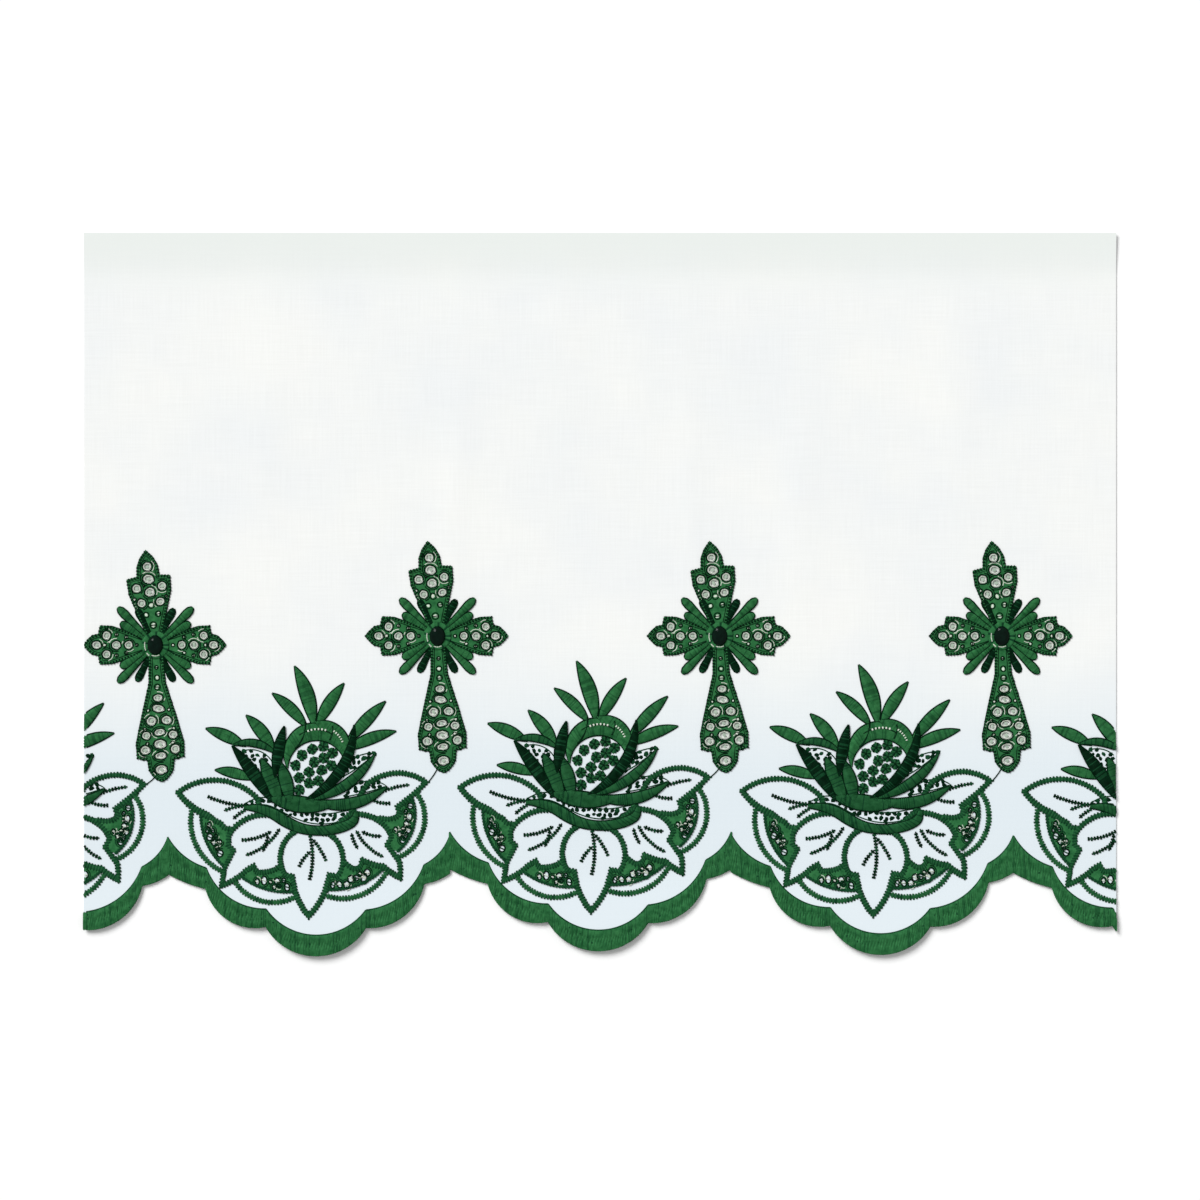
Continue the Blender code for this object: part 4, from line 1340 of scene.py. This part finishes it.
def lay_rays(design):
    """The rays between the arms; gives their outlines."""
    outlines = []
    for angle, reach, width, level, tone in RAYS:
        for heading in (angle, 180 - angle, 180 + angle, 360 - angle):
            ahead, side = ahead_and_side(math.radians(heading))
            left, right = [], []
            for share, size in RAY_PROFILE:
                middle = ahead * (RAY_START + (reach - RAY_START) * share)
                left.append(middle + side * width / 2 * size)
                right.append(middle - side * width / 2 * size)
            design.filled(left, right, level, RAY_CROWN, tone)
            outlines.append(left + right[::-1])
    return outlines


def lay_collar(design):
    """Stitches round the stone, and pale strands beside it that paint highlights on its rim."""
    spokes = 34
    inner_radius, flattened = 3.6, 0.86
    for spoke in range(spokes):
        ahead, _side = ahead_and_side(math.tau * spoke / spokes)
        reach = COLLAR_RADIUS + design.rng.uniform(-0.2, 0.3)
        tone = "mid" if spoke % 4 else "outline"
        design.stitch(ahead * inner_radius, ahead * reach, *COLLAR_STITCH, tone)
    # Painted highlights: pale strands along the stone's rim
    for middle_turn, spread, reach in COLLAR_GLINTS:
        turns = [math.radians(middle_turn + spread * step / 3) for step in range(-3, 4)]
        points = [Vector((math.cos(turn) * reach * flattened, math.sin(turn) * reach)) for turn in turns]
        design.strand(points, *GLINT)


def cross_design():
    """Stitches of one cross about its middle, the layers of its plate and its rays' outlines."""
    design = Design(random.Random(RANDOM_SEED + 3))
    layers = [(outline, True) for outline in lay_arms(design)]
    layers.append((ellipse(ORIGIN, COLLAR_RADIUS, COLLAR_RADIUS, 0.0, 24), True))
    layers += [(loop, False) for loop in lay_cells(design)]
    lay_dots(design)
    rays = [(outline, True) for outline in lay_rays(design)]
    lay_collar(design)
    return design, layers, rays


def make_gem(number, middle):
    """Faceted oval stone in the middle of a cross."""
    work = Work()
    work.origin = middle
    rings = []
    for index, (across, along, level) in enumerate(GEM_RINGS):
        loop = ellipse(ORIGIN, across, along, math.pi / 2, GEM_SIDES)
        if index % 2:
            loop = [(a + b) / 2 * GEM_BULGE for a, b in zip(loop, loop[1:] + loop[:1])]
        rings.append([work.vert(point, level) for point in loop])
    for index, (lower, upper) in enumerate(zip(rings, rings[1:])):
        for side in range(GEM_SIDES):
            after = (side + 1) % GEM_SIDES
            if index % 2:
                work.face((lower[side], lower[after], upper[after]), "mid")
                work.face((lower[side], upper[after], upper[side]), "mid")
            else:
                work.face((lower[side], lower[after], upper[side]), "mid")
                work.face((lower[after], upper[after], upper[side]), "mid")
    work.face(rings[0][::-1], "mid")
    work.face(rings[-1], "mid")
    gem = work.finish(f"stone_{number}", {"mid": GEM}, FACET_ANGLE)
    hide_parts(f"gem_{number}")


def lay_jump(work, number, middle):
    """The thread that runs from a cross's foot to the flower on its left."""
    _name, count, drop = REPEATS[number - 1]
    heading, rows = CROSS_ARMS["down"]
    ahead, _side = ahead_and_side(math.radians(heading))
    foot = middle + ahead * (rows[-1][0] - 1.0) + JUMP_START
    tip = OPEN_LEAVES["upper_right"][4]
    leaf = Vector((repeat_centre(count) + tip[0] + JUMP_END[0], HEM_Y - drop + tip[1] + JUMP_END[1]))
    bend = foot.lerp(leaf, 0.5) + JUMP_BEND
    width, level, crown, tone = JUMP
    work.strand(smooth([foot, bend, leaf]), width, SHEET_TOP + level, crown, tone)


def make_crosses():
    """The crosses with their stones, and the thread that jumps from each to the flower on its left."""
    design, layers, rays = cross_design()
    plates = (
        (layers, SHEET_TOP, SHEET_TOP + PLATE_THICK, "mid"),
        (rays + layers, -BACK, BACK, "shade"),
    )
    for number, middle in cross_middles():
        work = Work()
        lay_plates(work, plates, *middle)
        design.lay(work, *middle)
        lay_jump(work, number, middle)
        cross = work.finish(f"cross_{number}_stitches", THREADS, SOFT_ANGLE)
        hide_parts(f"cross_{number}")
        make_gem(number, middle)


def make_table():
    """The plain table under the cloth."""
    mesh = bpy.data.meshes.new("table")
    corners = [(x * TABLE_HALF * MM, y * TABLE_HALF * MM, -TABLE_DROP * MM)
               for x, y in ((-1, -1), (1, -1), (1, 1), (-1, 1))]
    mesh.from_pydata(corners, [], [(0, 1, 2, 3)])
    mesh.materials.append(TABLE)
    table = add_object("table", mesh)


def make_lights():
    """Soft light from the upper left, and an even white room."""
    light = bpy.data.lights.new("key", "SUN")
    light.energy = KEY_STRENGTH
    light.angle = math.radians(KEY_SPREAD)
    key = add_object("key", light)
    key.rotation_euler = Vector(KEY_DIRECTION).to_track_quat("-Z", "Y").to_euler()
    world = bpy.data.worlds.new("room")
    world.use_nodes = True
    background = world.node_tree.nodes["Background"]
    background.inputs["Color"].default_value = (1.0, 1.0, 1.0, 1.0)
    background.inputs["Strength"].default_value = ROOM_STRENGTH
    bpy.context.scene.world = world
    bpy.context.scene.view_settings.view_transform = "Standard"


def make_camera():
    """Camera straight above the sheet, as in the photograph."""
    camera = bpy.data.cameras.new("camera")
    camera.lens = LENS
    camera.sensor_width = SENSOR
    camera.clip_end = CAMERA_REACH
    eye = add_object("camera", camera)
    eye.location = (0.0, FRAME_MIDDLE * MM, (FRAME_WIDTH * LENS / SENSOR + SHEET_TOP) * MM)
    bpy.context.scene.camera = eye


make_camera()
make_lights()
make_table()
sheet = make_sheet()
band = make_edging()
make_flowers()
make_crosses()
